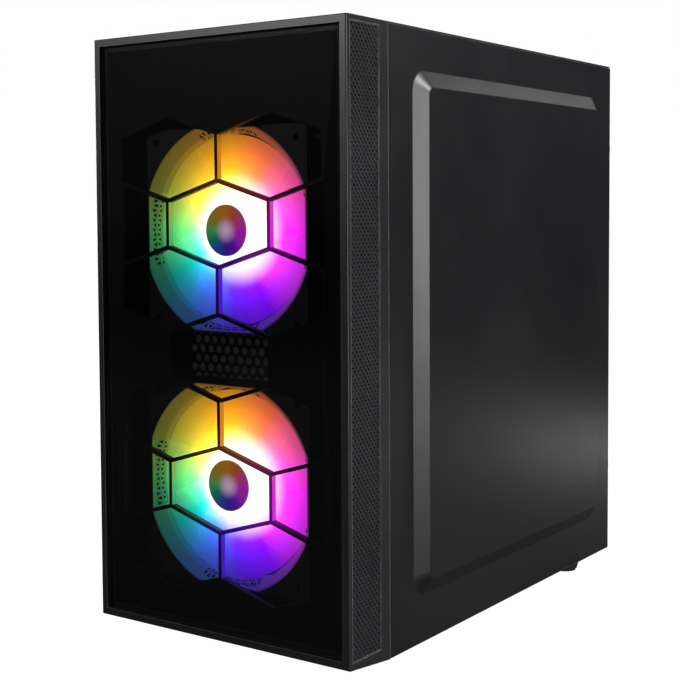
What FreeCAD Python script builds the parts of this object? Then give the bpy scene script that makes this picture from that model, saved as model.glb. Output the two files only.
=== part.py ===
"""Desktop computer tower, micro-ATX, with two lit intake fans behind a glass front.

Millimetres.  The design frame has x = 0 on the middle of the case, y = 0 on the
front face and z = 0 on the floor: +X is the right-hand side seen from the front,
+Y runs to the rear and +Z is up.  On export everything moves so that the origin is
the middle of the footprint of the whole tower, on the floor.
"""
import FreeCAD
import Part
import math
import os
from FreeCAD import Placement, Rotation, Vector

os.makedirs("parts", exist_ok=True)

# ---------------------------------------------------------------- driving sizes
CASE_WIDTH = 188.0          # outside, over the flat of both side panels
CASE_DEPTH = 341.0          # front face to the back of the rear plate
CASE_HEIGHT = 360.0         # without the feet
FOOT_HEIGHT = 9.0
SHEET = 0.8                 # steel gauge
GAP = 0.3                   # between pieces that move apart
FIT = 0.15                  # between pieces that are pressed or clipped together

BEZEL_DEPTH = 40.5
BEZEL_WALL = 2.8
BEZEL_RIM = 4.5             # frame seen around the front glass
BEZEL_LIFT = 4.5            # how far the lower edge rises towards the front
BEZEL_EDGE = 0.8            # edge rounding
BEZEL_LEDGE = 3.5           # seat behind the glass
FRONT_GLASS = 3.0
GRILLE_DEPTH = 3.5
MESH_SHEET = 1.0
MESH_RECESS = 0.6
MESH_FRONT = 3.2
MESH_LENGTH = 28.4
MESH_LIP = 2.0
MESH_FOOT = 8.0             # from the bottom of the body
MESH_HEAD = 3.0             # from the top of the body

FAN_SIZE = 120.0
FAN_DEPTH = 25.0
FAN_FRONT = 10.0            # front rim of the intake fans
FAN_PITCH = 150.0           # between the two intake fans
FAN_DROP = 116.0            # upper fan centre below the top
FAN_HOLE_PITCH = 105.0
REAR_FAN_SIZE = 92.0
REAR_FAN_HOLE_PITCH = 82.5
REAR_FAN_X = -37.0
REAR_FAN_DROP = 94.0
FAN_FLANGE = 3.5
FAN_FLARE = 6.0             # depth of the flared mouth
FAN_RIM = 0.8               # wall left where the flare meets a side of the square
FAN_SKIN = 1.2              # wall behind the flare and around the bore
LINER = 0.8                 # light liner on that wall
FAN_HOLE = 2.2              # radius
BLADES = 9
SHAFT = 1.5                 # radius
SHAFT_PLAY = 0.06
CAP_RADIUS = 15.0
CAP_THICK = 0.8
HUB_FACE = 2.0              # hub face behind the fan's front rim
PLATE_HOLE = 2.4            # radius of the front plate's perforation
PLATE_PITCH_X = 6.6
PLATE_PITCH_Z = 5.75

CELL_HALF = 38.0            # honeycomb: half width of a cell
CELL_RISE = 11.5            # rise of the slanted side
CELL_LEAD = 1.3             # row pitch beyond a quarter of the fans' pitch
CELL_STRUT = 2.3
LATTICE_HALF = 76.0
LATTICE_RISE = 1.1          # lattice centre above the middle of the two fans

SIDE_GLASS = 3.0
WASHER = 0.9
PANEL_RISE = 5.8            # right panel: height of the pressed field
PANEL_SLOPE = 9.5
PANEL_FIELD_FRONT = 65.7
PANEL_FIELD_REAR = 23.0     # from the rear face
PANEL_FIELD_HEAD = 24.6
PANEL_FIELD_FOOT = 29.0
PANEL_CORNER = 12.7
PANEL_BEND = 1.6

TRAY_BAY = 20.0             # from the outside of the case to the left face of the board tray
TRAY_SETBACK = 7.2          # front edge of the tray behind the front panel
STANDOFF = 6.5
BOARD_THICK = 1.6
BOARD_HEIGHT = 244.0
BOARD_DEPTH = 210.0
BOARD_DROP = 14.0
BOARD_REAR = 4.2            # board edge to the rear plate
PSU_WIDTH = 150.0
PSU_DEPTH = 140.0
PSU_HEIGHT = 86.0
PSU_WALL = 1.0
INLET_DEPTH = 17.0
PSU_HEADROOM = 6.4          # under the shroud
SLOT_PITCH = 20.32
SLOT_FIRST = 171.0          # first slot centre above the body's bottom
SLOT_COUNT = 4
IO_WIDTH = 44.45
IO_HEIGHT = 158.75
CARD_LENGTH = 170.0
CARD_WIDTH = 104.0
CARD_DROP = 38.0

SCREW_HEAD = 6.5            # thumbscrew head radius
SCREW_HEIGHT = 7.0
SCREW_SHANK = 1.6
SCREW_BORE = 1.95
SCREW_INSET = 14.0
PANE_INSET = 12.2           # front screws of the side pane behind its front edge
PANEL_SCREW_INSET = 9.0     # from the outside of the right panel
BUTTON_RADIUS = 7.0
RESET_RADIUS = 3.0
BUTTON_TRAVEL = 1.5
BUTTON_PROUD = 0.6
PORT_LINE = 21.0            # middle of the row of front ports, along y
BOARD_BELOW = 12.0          # port board under the top face
JACK_BORE = 1.8
FOOT_RADIUS = 11.0
FOOT_FRONT_X = 62.0
FOOT_REAR_X = 78.5
FOOT_FRONT = 70.0
FOOT_REAR = 41.0            # from the rear face
FILTER_THICK = 1.6

# --------------------------------------------------------------- derived places
HALF = CASE_WIDTH / 2
BOTTOM = FOOT_HEIGHT
TOP = FOOT_HEIGHT + CASE_HEIGHT
REAR = CASE_DEPTH
REAR_IN = REAR - SHEET
CHASSIS = HALF - SIDE_GLASS - WASHER - GAP
PLATE_Y = FAN_FRONT + FAN_DEPTH
SHELL_Y = BEZEL_DEPTH + GAP
GLASS_LOW = BOTTOM + BEZEL_LIFT + BEZEL_RIM
GLASS_HIGH = TOP - BEZEL_RIM
LEDGE_BACK = FRONT_GLASS + GRILLE_DEPTH
PLATE_LOW = BOTTOM + BEZEL_LIFT + BEZEL_WALL + GAP
PLATE_HIGH = TOP - BEZEL_WALL - GAP
UPPER_FAN_Z = TOP - FAN_DROP
LOWER_FAN_Z = UPPER_FAN_Z - FAN_PITCH
REAR_FAN_Z = TOP - REAR_FAN_DROP
FLOOR = BOTTOM + SHEET
CEILING = TOP - SHEET
CELL_SIDE = FAN_PITCH / 4 + CELL_LEAD - CELL_RISE
TRAY_X = HALF - TRAY_BAY
TRAY_FRONT = SHELL_Y + TRAY_SETBACK
BOARD_FACE = TRAY_X - STANDOFF - BOARD_THICK
BOARD_TOP = TOP - BOARD_DROP
BOARD_LOW = BOARD_TOP - BOARD_HEIGHT
BOARD_BACK = REAR - BOARD_REAR
BOARD_FRONT = BOARD_BACK - BOARD_DEPTH
IO_X0 = BOARD_FACE + BOARD_THICK + 0.4 - IO_WIDTH
IO_Z1 = BOARD_TOP - 4.25
IO_Z0 = IO_Z1 - IO_HEIGHT
SLOT_Z = [BOTTOM + SLOT_FIRST - i * SLOT_PITCH for i in range(SLOT_COUNT)]
SLOT_X0 = BOARD_FACE - 107.0
SLOT_X1 = BOARD_FACE
PSU_X1 = TRAY_X - 2.0
PSU_X0 = PSU_X1 - PSU_WIDTH
PSU_Y0 = REAR_IN - PSU_DEPTH
PSU_Z1 = FLOOR + PSU_HEIGHT
PSU_FAN_Y = REAR_IN - PSU_DEPTH / 2 - 8.0
PSU_FAN_X = (PSU_X0 + PSU_X1) / 2
SHROUD_Z = PSU_Z1 + PSU_HEADROOM + SHEET
SHROUD_X = -CHASSIS + 1.8
COOLER_X = TRAY_X - 89.0
COOLER_Z = BOARD_TOP - 80.0
COOLER_FAN_Y = REAR - 171.0
CPU_Y = COOLER_FAN_Y + FAN_DEPTH + 26.0
INLET_X = PSU_X1 - 22.0
INLET_Z = FLOOR + 24.0
SWITCH_Z = FLOOR + 56.0
FOLD_Y = REAR + GAP
SCREW_FRONT_Y = SHELL_Y + PANE_INSET
SCREW_REAR_Y = REAR - 11.0
SCREW_LOW = BOTTOM + SCREW_INSET
SCREW_HIGH = TOP - SCREW_INSET
PANEL_SCREW_X = HALF - PANEL_SCREW_INSET
PANEL_SCREW_Z = (BOTTOM + 62.0, TOP - 60.0)
BUTTON_X = -62.0
RESET_X = -40.0
USB_X = (-20.0, 2.0, 24.0)
JACK_X = (44.0, 56.0)
PORT_BOARD_Z = TOP - BOARD_BELOW
CABLE_Y = BOARD_FRONT + 5.0
CABLE_SLOT_Y = CABLE_Y - 19.0
CABLE_Z = BOARD_LOW + 155.0
PIN_X = CHASSIS - 5.3
PIN_Z = (PLATE_LOW + 26.0, (PLATE_LOW + PLATE_HIGH) / 2, PLATE_HIGH - 26.0)
VENT_HALF = 58.0
VENT_Y0 = 74.0
VENT_Y1 = REAR - 33.0
LEAD_X = (-43.6, 6.5)
LEAD_Z = (TOP - 43.0, TOP - 29.0)

LEFT_END = -(HALF + WASHER + SCREW_HEIGHT)
RIGHT_END = HALF + PANEL_RISE
BACK_END = FOLD_Y + SHEET + SCREW_HEIGHT
ORIGIN = Vector((LEFT_END + RIGHT_END) / 2, BACK_END / 2, 0)

# ------------------------------------------------------------- outlines and bars
TURNS = {
    "front": Rotation(Vector(1, 0, 0), 90),       # u along X, v along Z
    "side": Rotation(Vector(1, 1, 1), 120),       # u along Y, v along Z
    "top": Rotation(),                            # u along X, v along Y
}
NORMALS = {"front": Vector(0, 1, 0), "side": Vector(1, 0, 0), "top": Vector(0, 0, 1)}


def block(x0, x1, y0, y1, z0, z1):
    """Box between two opposite corners."""
    return Part.makeBox(x1 - x0, y1 - y0, z1 - z0, Vector(x0, y0, z0))


def rod(radius, start, end):
    """Cylinder from one point to another."""
    axis = end - start
    return Part.makeCylinder(radius, axis.Length, start, axis)


def tube(outer, inner, start, end):
    """Hollow cylinder from one point to another."""
    return rod(outer, start, end).cut(rod(inner, start, end))


def circle(u, v, radius):
    """Round outline in the drawing plane."""
    return Part.Wire([Part.Circle(Vector(u, v, 0), Vector(0, 0, 1), radius).toShape()])


def polygon(points):
    """Closed outline through the given (u, v) corners."""
    corners = [Vector(u, v, 0) for u, v in points]
    return Part.makePolygon(corners + corners[:1])


def rect(u0, u1, v0, v1, radius=0.0):
    """Rectangle, with rounded corners if a radius is given."""
    if radius <= 0:
        return polygon([(u0, v0), (u1, v0), (u1, v1), (u0, v1)])
    edges = []
    corners = ((u1, v0, 1, -1, 270), (u1, v1, 1, 1, 0), (u0, v1, -1, 1, 90), (u0, v0, -1, -1, 180))
    ends = []
    for u, v, sign_u, sign_v, angle in corners:
        centre = Vector(u - sign_u * radius, v - sign_v * radius, 0)
        arc = Part.Circle(centre, Vector(0, 0, 1), radius)
        edge = Part.Edge(arc, math.radians(angle), math.radians(angle + 90))
        ends.append((edge.valueAt(edge.FirstParameter), edge.valueAt(edge.LastParameter)))
        edges.append(edge)
    outline = []
    for i in range(4):
        outline.append(edges[i])
        start, stop = ends[i][1], ends[(i + 1) % 4][0]
        if (stop - start).Length > 1e-6:
            outline.append(Part.makeLine(start, stop))
    return Part.Wire(outline)


def slot(u, v, length, width):
    """Round-ended slot along u."""
    return rect(u - length / 2, u + length / 2, v - width / 2, v + width / 2, width / 2 - 0.01)


def sheet(plane, outline, low, high, holes=()):
    """Sheet between two levels along the plane's normal, with holes through it."""
    face = Part.Face([outline] + [hole.reversed() for hole in holes])
    slab = face.extrude(Vector(0, 0, high - low))
    level = high if plane == "front" else low
    slab.Placement = Placement(NORMALS[plane] * level, TURNS[plane])
    return slab


def staggered(u0, u1, v0, v1, pitch_u, pitch_v):
    """Centres of a perforation whose every second row is set off by half a pitch."""
    columns = int((u1 - u0) // pitch_u)
    rows = int((v1 - v0) // pitch_v)
    left = (u0 + u1 - columns * pitch_u) / 2
    low = (v0 + v1 - rows * pitch_v) / 2
    for row in range(rows + 1):
        shift = 0.5 * (row % 2)
        for column in range(columns + 1 - row % 2):
            yield left + (column + shift) * pitch_u, low + row * pitch_v


def square_pattern(u, v, pitch):
    """Four points at the corners of a square."""
    half = pitch / 2
    return [(u + a * half, v + b * half) for a in (-1, 1) for b in (-1, 1)]


def joined(first, *others):
    """One solid from pieces that overlap or share faces."""
    return first.fuse(list(others)).Solids[0]


def comb(u0, u1, v0, v1, pitch, fin, spine):
    """Outline of a row of fins that stand on a spine along u."""
    points = [(u0, v0), (u1, v0)]
    count = int((u1 - u0 - fin) // pitch)
    gap = (u1 - u0 - fin) / count
    u = u1
    for _ in range(count):
        points += [(u, v1), (u - fin, v1), (u - fin, v0 + spine), (u - gap, v0 + spine)]
        u -= gap
    points += [(u, v1), (u0, v1)]
    return polygon(points)


def lead(points, radius):
    """Round cable: straight runs joined by arcs that touch them."""
    corners = [Vector(*p) for p in points]
    edges = []
    last = corners[0]
    for before, corner, after in zip(corners, corners[1:], corners[2:]):
        back, ahead = before - corner, after - corner
        turn = math.pi - back.getAngle(ahead)
        reach = 0.45 * min(back.Length, ahead.Length)
        start = corner + back.normalize() * reach
        stop = corner + ahead.normalize() * reach
        bend = reach / math.tan(turn / 2)
        half = (start + stop) * 0.5 - corner
        middle = corner + half.normalize() * (math.hypot(bend, reach) - bend)
        edges += [Part.makeLine(last, start), Part.Arc(start, middle, stop).toShape()]
        last = stop
    edges.append(Part.makeLine(last, corners[-1]))
    path = Part.Wire(edges)
    section = Part.Wire([Part.Circle(corners[0], corners[1] - corners[0], radius).toShape()])
    return path.makePipeShell([section], True, False).Solids[0]


# ------------------------------------------------------------------------- fans
# A fan is drawn with its axis along +Y, its front rim at y = 0 and its centre at x = z = 0.

def fan_sizes(size):
    """Radii of a fan: flare, throat wall, liner bore, blade tip and hub."""
    scale = size / FAN_SIZE
    return {"flare": 63.4 * scale, "wall": 58.4 * scale, "bore": 57.2 * scale,
            "tip": 55.8 * scale, "hub": 20.0 * scale}


def bell(mouth, throat, depth, limit):
    """Solid inside of a flared bore, cut flat at a limit each side of the axis."""
    ahead = Vector(0, 1, 0)
    flare = Part.makeCone(mouth, throat, FAN_FLARE, Vector(0, 0, 0), ahead)
    bore = rod(throat, ahead * FAN_FLARE, ahead * depth)
    return joined(flare, bore).common(block(-limit, limit, 0, depth, -limit, limit)).Solids[0]


def fan_frame(size, hole_pitch):
    """Square frame with a flared bore, four arms and the bearing tube."""
    radii = fan_sizes(size)
    half = size / 2
    holes = [circle(u, v, FAN_HOLE) for u, v in square_pattern(0, 0, hole_pitch)]
    frame = sheet("front", rect(-half, half, -half, half, 5.0), 0, FAN_DEPTH, holes)
    opening = bell(radii["flare"], radii["wall"], FAN_DEPTH, half - FAN_RIM)
    housing = bell(radii["flare"] + FAN_SKIN, radii["wall"] + FAN_SKIN, FAN_DEPTH, half)
    pocket = block(-size, size, FAN_FLANGE, FAN_DEPTH - FAN_FLANGE, -size, size).cut(housing)
    frame = frame.cut([opening, pocket])
    seat = FAN_DEPTH - FAN_FLANGE
    plate = rod(radii["hub"] + 1.0, Vector(0, seat, 0), Vector(0, FAN_DEPTH, 0))
    arms = []
    for i in range(4):
        arm = block(radii["hub"] - 2, radii["wall"] + 0.5, seat, FAN_DEPTH, -2.5, 2.5)
        arm.rotate(Vector(0, 0, 0), Vector(0, 1, 0), 20 + 90 * i)
        arms.append(arm)
    bearing = rod(4.2, Vector(0, 8.0, 0), Vector(0, seat + 1, 0))
    bore = rod(SHAFT + SHAFT_PLAY, Vector(0, 7.0, 0), Vector(0, seat, 0))
    return joined(frame, plate, bearing, *arms).cut(bore).Solids[0]


def light_ring(size):
    """Frosted liner that carries the light around the blades, cut to the square frame."""
    radii = fan_sizes(size)
    back = FAN_DEPTH - FAN_FLANGE - 0.5
    limit = size / 2 - FAN_RIM
    outside = bell(radii["flare"], radii["wall"], back, limit)
    inside = bell(radii["flare"] - LINER * 1.5, radii["bore"], back, limit - LINER)
    return outside.cut(inside).Solids[0]


def blade_section(distance, chord, angle, lean, thick):
    """Cambered blade outline in the plane x = distance."""
    tilt = math.radians(angle)
    along = Vector(0, math.sin(tilt), math.cos(tilt))
    across = Vector(0, math.cos(tilt), -math.sin(tilt))
    middle = Vector(distance, 11.2, lean)
    low, high = middle - along * (chord / 2), middle + along * (chord / 2)
    crest = middle + across * (chord * 0.09)
    edges = [Part.Arc(low, crest, high).toShape(),
             Part.makeLine(high, high + across * thick),
             Part.Arc(high + across * thick, crest + across * thick * 1.4,
                      low + across * thick).toShape(),
             Part.makeLine(low + across * thick, low)]
    return Part.Wire(edges)


def fan_rotor(size):
    """Cupped hub with its shaft and curved blades."""
    radii = fan_sizes(size)
    scale = size / FAN_SIZE
    sections = [blade_section(12 * scale, 19 * scale, 50, 0, 1.6),
                blade_section(36 * scale, 27 * scale, 37, 4 * scale, 1.4),
                blade_section(60 * scale, 35 * scale, 27, 14 * scale, 1.2)]
    blade = Part.makeLoft(sections, True)
    wall = 2.4
    origin, back = Vector(0, -5, 0), Vector(0, FAN_DEPTH + 5, 0)
    ring = tube(radii["tip"], radii["hub"] - wall + 0.5, origin, back)
    blade = blade.common(ring).Solids[0]
    blades = []
    for i in range(BLADES):
        copy = blade.copy()
        copy.rotate(Vector(0, 0, 0), Vector(0, 1, 0), 360.0 * i / BLADES)
        blades.append(copy)
    cup_back = FAN_DEPTH - FAN_FLANGE - 1.0
    hub = rod(radii["hub"], Vector(0, HUB_FACE, 0), Vector(0, cup_back, 0))
    hub = hub.makeFillet(1.2, edges_on(hub, "Y", HUB_FACE))
    hub = hub.cut(rod(radii["hub"] - wall, Vector(0, 4.4, 0), Vector(0, FAN_DEPTH, 0)))
    shaft = rod(SHAFT, Vector(0, 4.0, 0), Vector(0, cup_back - 0.5, 0))
    return joined(hub, shaft, *blades)


def motor_coil(size):
    """Stator ring that sits on the bearing tube inside the hub."""
    outer = fan_sizes(size)["hub"] - 4.5
    return tube(outer, 4.2, Vector(0, 8.5, 0), Vector(0, 18.5, 0))


def facing_front(shape, x, y, z):
    """Copy of a fan part whose front rim stands at y, facing the front."""
    copy = shape.copy()
    copy.translate(Vector(x, y, z))
    return copy


def facing_down(shape, x, y, z):
    """Copy of a fan part whose front rim lies at z, facing the floor."""
    copy = shape.copy()
    copy.rotate(Vector(0, 0, 0), Vector(1, 0, 0), 90)
    copy.translate(Vector(x, y, z))
    return copy


# ------------------------------------------------------------------ front panel
def edges_on(shape, axis, level):
    """Edges that lie wholly at one level of an axis."""
    found = []
    for edge in shape.Edges:
        box = edge.BoundBox
        low, high = getattr(box, axis + "Min"), getattr(box, axis + "Max")
        if abs(low - level) < 1e-4 and abs(high - level) < 1e-4:
            found.append(edge)
    return found


def front_bezel():
    """Moulded front frame: rim, glass seat, side mesh windows, port holes and clip pins."""
    slant = BEZEL_LIFT / BEZEL_DEPTH
    outline = polygon([(0, BOTTOM + BEZEL_LIFT), (BEZEL_DEPTH, BOTTOM), (BEZEL_DEPTH, TOP), (0, TOP)])
    body = sheet("side", outline, -HALF, HALF)
    body = body.makeFillet(BEZEL_EDGE, edges_on(body, "Y", 0))
    inner = HALF - BEZEL_WALL
    low_front = BOTTOM + BEZEL_LIFT - slant * LEDGE_BACK + BEZEL_WALL
    cavity = polygon([(LEDGE_BACK, low_front), (BEZEL_DEPTH + 1, BOTTOM + BEZEL_WALL - slant),
                      (BEZEL_DEPTH + 1, TOP - BEZEL_WALL), (LEDGE_BACK, TOP - BEZEL_WALL)])
    cuts = [sheet("side", cavity, -inner, inner)]
    rim = HALF - BEZEL_RIM
    cuts.append(block(-rim, rim, -1, FRONT_GLASS, GLASS_LOW, GLASS_HIGH))
    seat = rim - BEZEL_LEDGE
    cuts.append(block(-seat, seat, 0, LEDGE_BACK + 1, GLASS_LOW + BEZEL_LEDGE, GLASS_HIGH - BEZEL_LEDGE))
    depth = MESH_SHEET + MESH_RECESS
    mesh_back = MESH_FRONT + MESH_LENGTH
    for side in (-1, 1):
        x0, x1 = sorted((side * (HALF - depth), side * (HALF + 1)))
        cuts.append(block(x0, x1, MESH_FRONT, mesh_back, BOTTOM + MESH_FOOT, TOP - MESH_HEAD))
        x0, x1 = sorted((side * (inner - 1), side * (HALF + 1)))
        cuts.append(block(x0, x1, LEDGE_BACK + 1, mesh_back - MESH_LIP,
                          BOTTOM + MESH_FOOT + MESH_LIP, TOP - MESH_HEAD - MESH_LIP))
    cuts.append(port_cutouts())
    body = body.cut(cuts)
    additions = []
    for side in (-1, 1):
        for z in PIN_Z:
            x0, x1 = sorted((side * (PIN_X - 2.5), side * (inner + 0.5)))
            additions.append(block(x0, x1, LEDGE_BACK, PLATE_Y - GAP, z - 2.5, z + 2.5))
            pin = rod(2.2, Vector(side * PIN_X, PLATE_Y - 2, z), Vector(side * PIN_X, PLATE_Y + 6, z))
            additions.append(pin)
    return joined(body, *additions)


def port_cutouts():
    """Holes through the top wall for the buttons and sockets."""
    holes = [circle(BUTTON_X, PORT_LINE, BUTTON_RADIUS + GAP),
             circle(RESET_X, PORT_LINE, RESET_RADIUS + GAP)]
    holes += [rect(x - 6.9, x + 6.9, PORT_LINE - 3.3, PORT_LINE + 3.3, 0.6) for x in USB_X]
    holes += [circle(x, PORT_LINE, 3.5) for x in JACK_X]
    solids = [sheet("top", hole, TOP - BEZEL_WALL - 1, TOP + 1) for hole in holes]
    return Part.makeCompound(solids)


def intake_meshes():
    """Perforated strips in the two sides of the bezel."""
    inner = HALF - MESH_SHEET - MESH_RECESS
    strips = []
    for side in (-1, 1):
        x0, x1 = sorted((side * inner, side * (inner + MESH_SHEET)))
        strips.append(block(x0, x1, MESH_FRONT + FIT, MESH_FRONT + MESH_LENGTH - FIT,
                            BOTTOM + MESH_FOOT + FIT, TOP - MESH_HEAD - FIT))
    return strips


def lattice_cell(u, v):
    """Outline of one honeycomb opening, cut off at the edge of the lattice."""
    strut = CELL_STRUT / 2
    slope = CELL_RISE / CELL_HALF
    half = CELL_HALF - strut
    crown = CELL_SIDE / 2 + CELL_RISE - strut * math.hypot(1, slope)
    shoulder = crown - slope * half
    limit = LATTICE_HALF
    if u + half > limit:
        edge = limit - u
        points = [(-half, -shoulder), (edge, -crown - slope * edge), (edge, crown + slope * edge),
                  (-half, shoulder)]
    elif u - half < -limit:
        edge = -limit - u
        points = [(half, -shoulder), (half, shoulder), (edge, crown - slope * edge),
                  (edge, -crown + slope * edge)]
    else:
        points = [(-half, -shoulder), (0, -crown), (half, -shoulder), (half, shoulder), (0, crown),
                  (-half, shoulder)]
    return polygon([(u + du, v + dv) for du, dv in points])


def honeycomb_grille():
    """Plate behind the front glass with two groups of long hexagonal openings."""
    row_pitch = CELL_SIDE + CELL_RISE
    middle = (UPPER_FAN_Z + LOWER_FAN_Z) / 2 + LATTICE_RISE
    cells = []
    for row in range(-3, 4):
        v = middle + row * row_pitch
        if row == 0:
            columns = (0.0,)
        elif row % 2 == 0:
            columns = (-2 * CELL_HALF, 0.0, 2 * CELL_HALF)
        else:
            columns = (-CELL_HALF, CELL_HALF)
        cells += [lattice_cell(u, v) for u in columns]
    half = HALF - BEZEL_RIM - BEZEL_LEDGE - FIT
    outline = rect(-half, half, GLASS_LOW + BEZEL_LEDGE + FIT, GLASS_HIGH - BEZEL_LEDGE - FIT)
    return sheet("front", outline, FRONT_GLASS, LEDGE_BACK, cells)


def front_glass():
    """Tinted pane in the bezel."""
    half = HALF - BEZEL_RIM - FIT
    outline = rect(-half, half, GLASS_LOW + FIT, GLASS_HIGH - FIT, 0.5)
    return sheet("front", outline, 0.2, FRONT_GLASS)


def push_button(x, radius, stem):
    """Button cap with a narrower stem that reaches the switch, and a flange that keeps it in."""
    centre = Vector(x, PORT_LINE, 0)
    top = TOP + BUTTON_PROUD
    cap = rod(radius, centre + Vector(0, 0, TOP - BEZEL_WALL - 1.2), centre + Vector(0, 0, top))
    cap = cap.makeFillet(0.4, edges_on(cap, "Z", top))
    flange_top = TOP - BEZEL_WALL - GAP
    flange = rod(radius + 1.2, centre + Vector(0, 0, flange_top - 1.2), centre + Vector(0, 0, flange_top))
    post = rod(stem, centre + Vector(0, 0, TOP - 7.0), centre + Vector(0, 0, TOP - BEZEL_WALL - 1))
    return joined(cap, flange, post)


def front_port_module():
    """Port board under the top of the bezel: board, sockets, switches and two posts."""
    low = PORT_BOARD_Z - 1.6
    board = block(BUTTON_X - 9, JACK_X[-1] + 10, PORT_LINE - 9, PORT_LINE + 9, low, PORT_BOARD_Z)
    parts = []
    for x in USB_X:
        shell = block(x - 6.6, x + 6.6, PORT_LINE - 2.9, PORT_LINE + 2.9, PORT_BOARD_Z, TOP - 0.4)
        hollow = block(x - 6.1, x + 6.1, PORT_LINE - 2.4, PORT_LINE + 2.4, PORT_BOARD_Z + 2, TOP)
        tongue = block(x - 5.4, x + 5.4, PORT_LINE - 0.2, PORT_LINE + 1.6, PORT_BOARD_Z, TOP - 1.6)
        parts += [shell.cut(hollow), tongue]
    for x in JACK_X:
        centre = Vector(x, PORT_LINE, 0)
        rise = (centre + Vector(0, 0, PORT_BOARD_Z), centre + Vector(0, 0, TOP - 0.4))
        parts.append(tube(3.2, JACK_BORE, *rise))
    for x in (BUTTON_X, RESET_X):
        parts.append(rod(1.8, Vector(x, PORT_LINE, PORT_BOARD_Z), Vector(x, PORT_LINE, TOP - 9.0)))
    for x in (BUTTON_X + 12.0, JACK_X[0] - 6.0):
        foot = Vector(x, PORT_LINE - 6, PORT_BOARD_Z)
        parts.append(rod(2.0, foot, Vector(x, PORT_LINE - 6, TOP - BEZEL_WALL)))
    return joined(board, *parts)


# ---------------------------------------------------------------------- chassis
def front_plate():
    """Perforated steel plate that carries the intake fans, with flanges turned to the rear."""
    area = (-46.3, 46.3, LOWER_FAN_Z - 62, UPPER_FAN_Z + 60)
    holes = [circle(u, v, PLATE_HOLE) for u, v in staggered(*area, PLATE_PITCH_X, PLATE_PITCH_Z)]
    for z in (UPPER_FAN_Z, LOWER_FAN_Z):
        holes += [circle(u, v, FAN_HOLE) for u, v in square_pattern(0, z, FAN_HOLE_PITCH)]
    holes += [circle(side * PIN_X, z, 2.8) for side in (-1, 1) for z in PIN_Z]
    holes.append(rect(*LEAD_X, *LEAD_Z, 3.0))
    plate = sheet("front", rect(-CHASSIS, CHASSIS, PLATE_LOW, PLATE_HIGH), PLATE_Y, PLATE_Y + SHEET, holes)
    back = PLATE_Y + SHEET
    flanges = [block(-CHASSIS, CHASSIS, back, SHELL_Y, PLATE_LOW, PLATE_LOW + SHEET),
               block(-CHASSIS, CHASSIS, back, SHELL_Y, PLATE_HIGH - SHEET, PLATE_HIGH)]
    wing = rect(back, SCREW_FRONT_Y + 8, PLATE_LOW, PLATE_HIGH)
    screws = [circle(SCREW_FRONT_Y, z, SCREW_BORE) for z in (SCREW_LOW, SCREW_HIGH)]
    flanges.append(sheet("side", wing, -CHASSIS, -CHASSIS + SHEET, screws))
    flanges.append(sheet("side", wing.copy(), CHASSIS - SHEET, CHASSIS))
    return joined(plate, *flanges)


def base_pan():
    """Floor of the case with a vent under the power supply and upturned edges."""
    holes = [slot(PSU_FAN_X + u, PSU_FAN_Y + v, 20, 4.5)
             for u in (-46, -23, 0, 23, 46) for v in range(-52, 53, 8)]
    pan = sheet("top", rect(-CHASSIS, CHASSIS, SHELL_Y, REAR_IN), BOTTOM, FLOOR, holes)
    lip = 9.0
    edge_y = SCREW_FRONT_Y + 8
    wing_in = CHASSIS - SHEET
    parts = [block(-wing_in, wing_in, SHELL_Y, SHELL_Y + SHEET, FLOOR, FLOOR + 14),
             block(-CHASSIS, -wing_in, edge_y, REAR_IN - 20, FLOOR, FLOOR + lip),
             block(wing_in, CHASSIS, edge_y, REAR_IN - 20, FLOOR, FLOOR + lip)]
    for side in (-1, 1):
        x0, x1 = sorted((side * 66.0, side * 67.0))
        parts.append(block(x0, x1, REAR - 150, REAR_IN, BOTTOM - 4.2, BOTTOM))
        x0, x1 = sorted((side * 63.0, side * 67.0))
        parts.append(block(x0, x1, REAR - 150, REAR_IN, BOTTOM - 5.0, BOTTOM - 4.2))
    return joined(pan, *parts)


def top_plate():
    """Roof with a slotted vent and turned-down edges."""
    middle = (VENT_Y0 + VENT_Y1) / 2
    rows = int((VENT_Y1 - VENT_Y0) / 8)
    holes = [slot(u, middle + (row - rows / 2) * 8, 24, 4.5)
             for u in (-43.5, -14.5, 14.5, 43.5) for row in range(rows + 1)]
    roof = sheet("top", rect(-HALF, HALF, SHELL_Y, REAR), CEILING, TOP, holes)
    wing_in = CHASSIS - SHEET
    edge_y = SCREW_FRONT_Y + 8
    parts = [block(-wing_in, wing_in, SHELL_Y, SHELL_Y + SHEET, CEILING - 14, CEILING),
             block(-CHASSIS, -wing_in, edge_y, REAR_IN - 20, CEILING - 9, CEILING),
             block(wing_in, CHASSIS, edge_y, REAR_IN - 20, CEILING - 9, CEILING)]
    return joined(roof, *parts)


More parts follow.
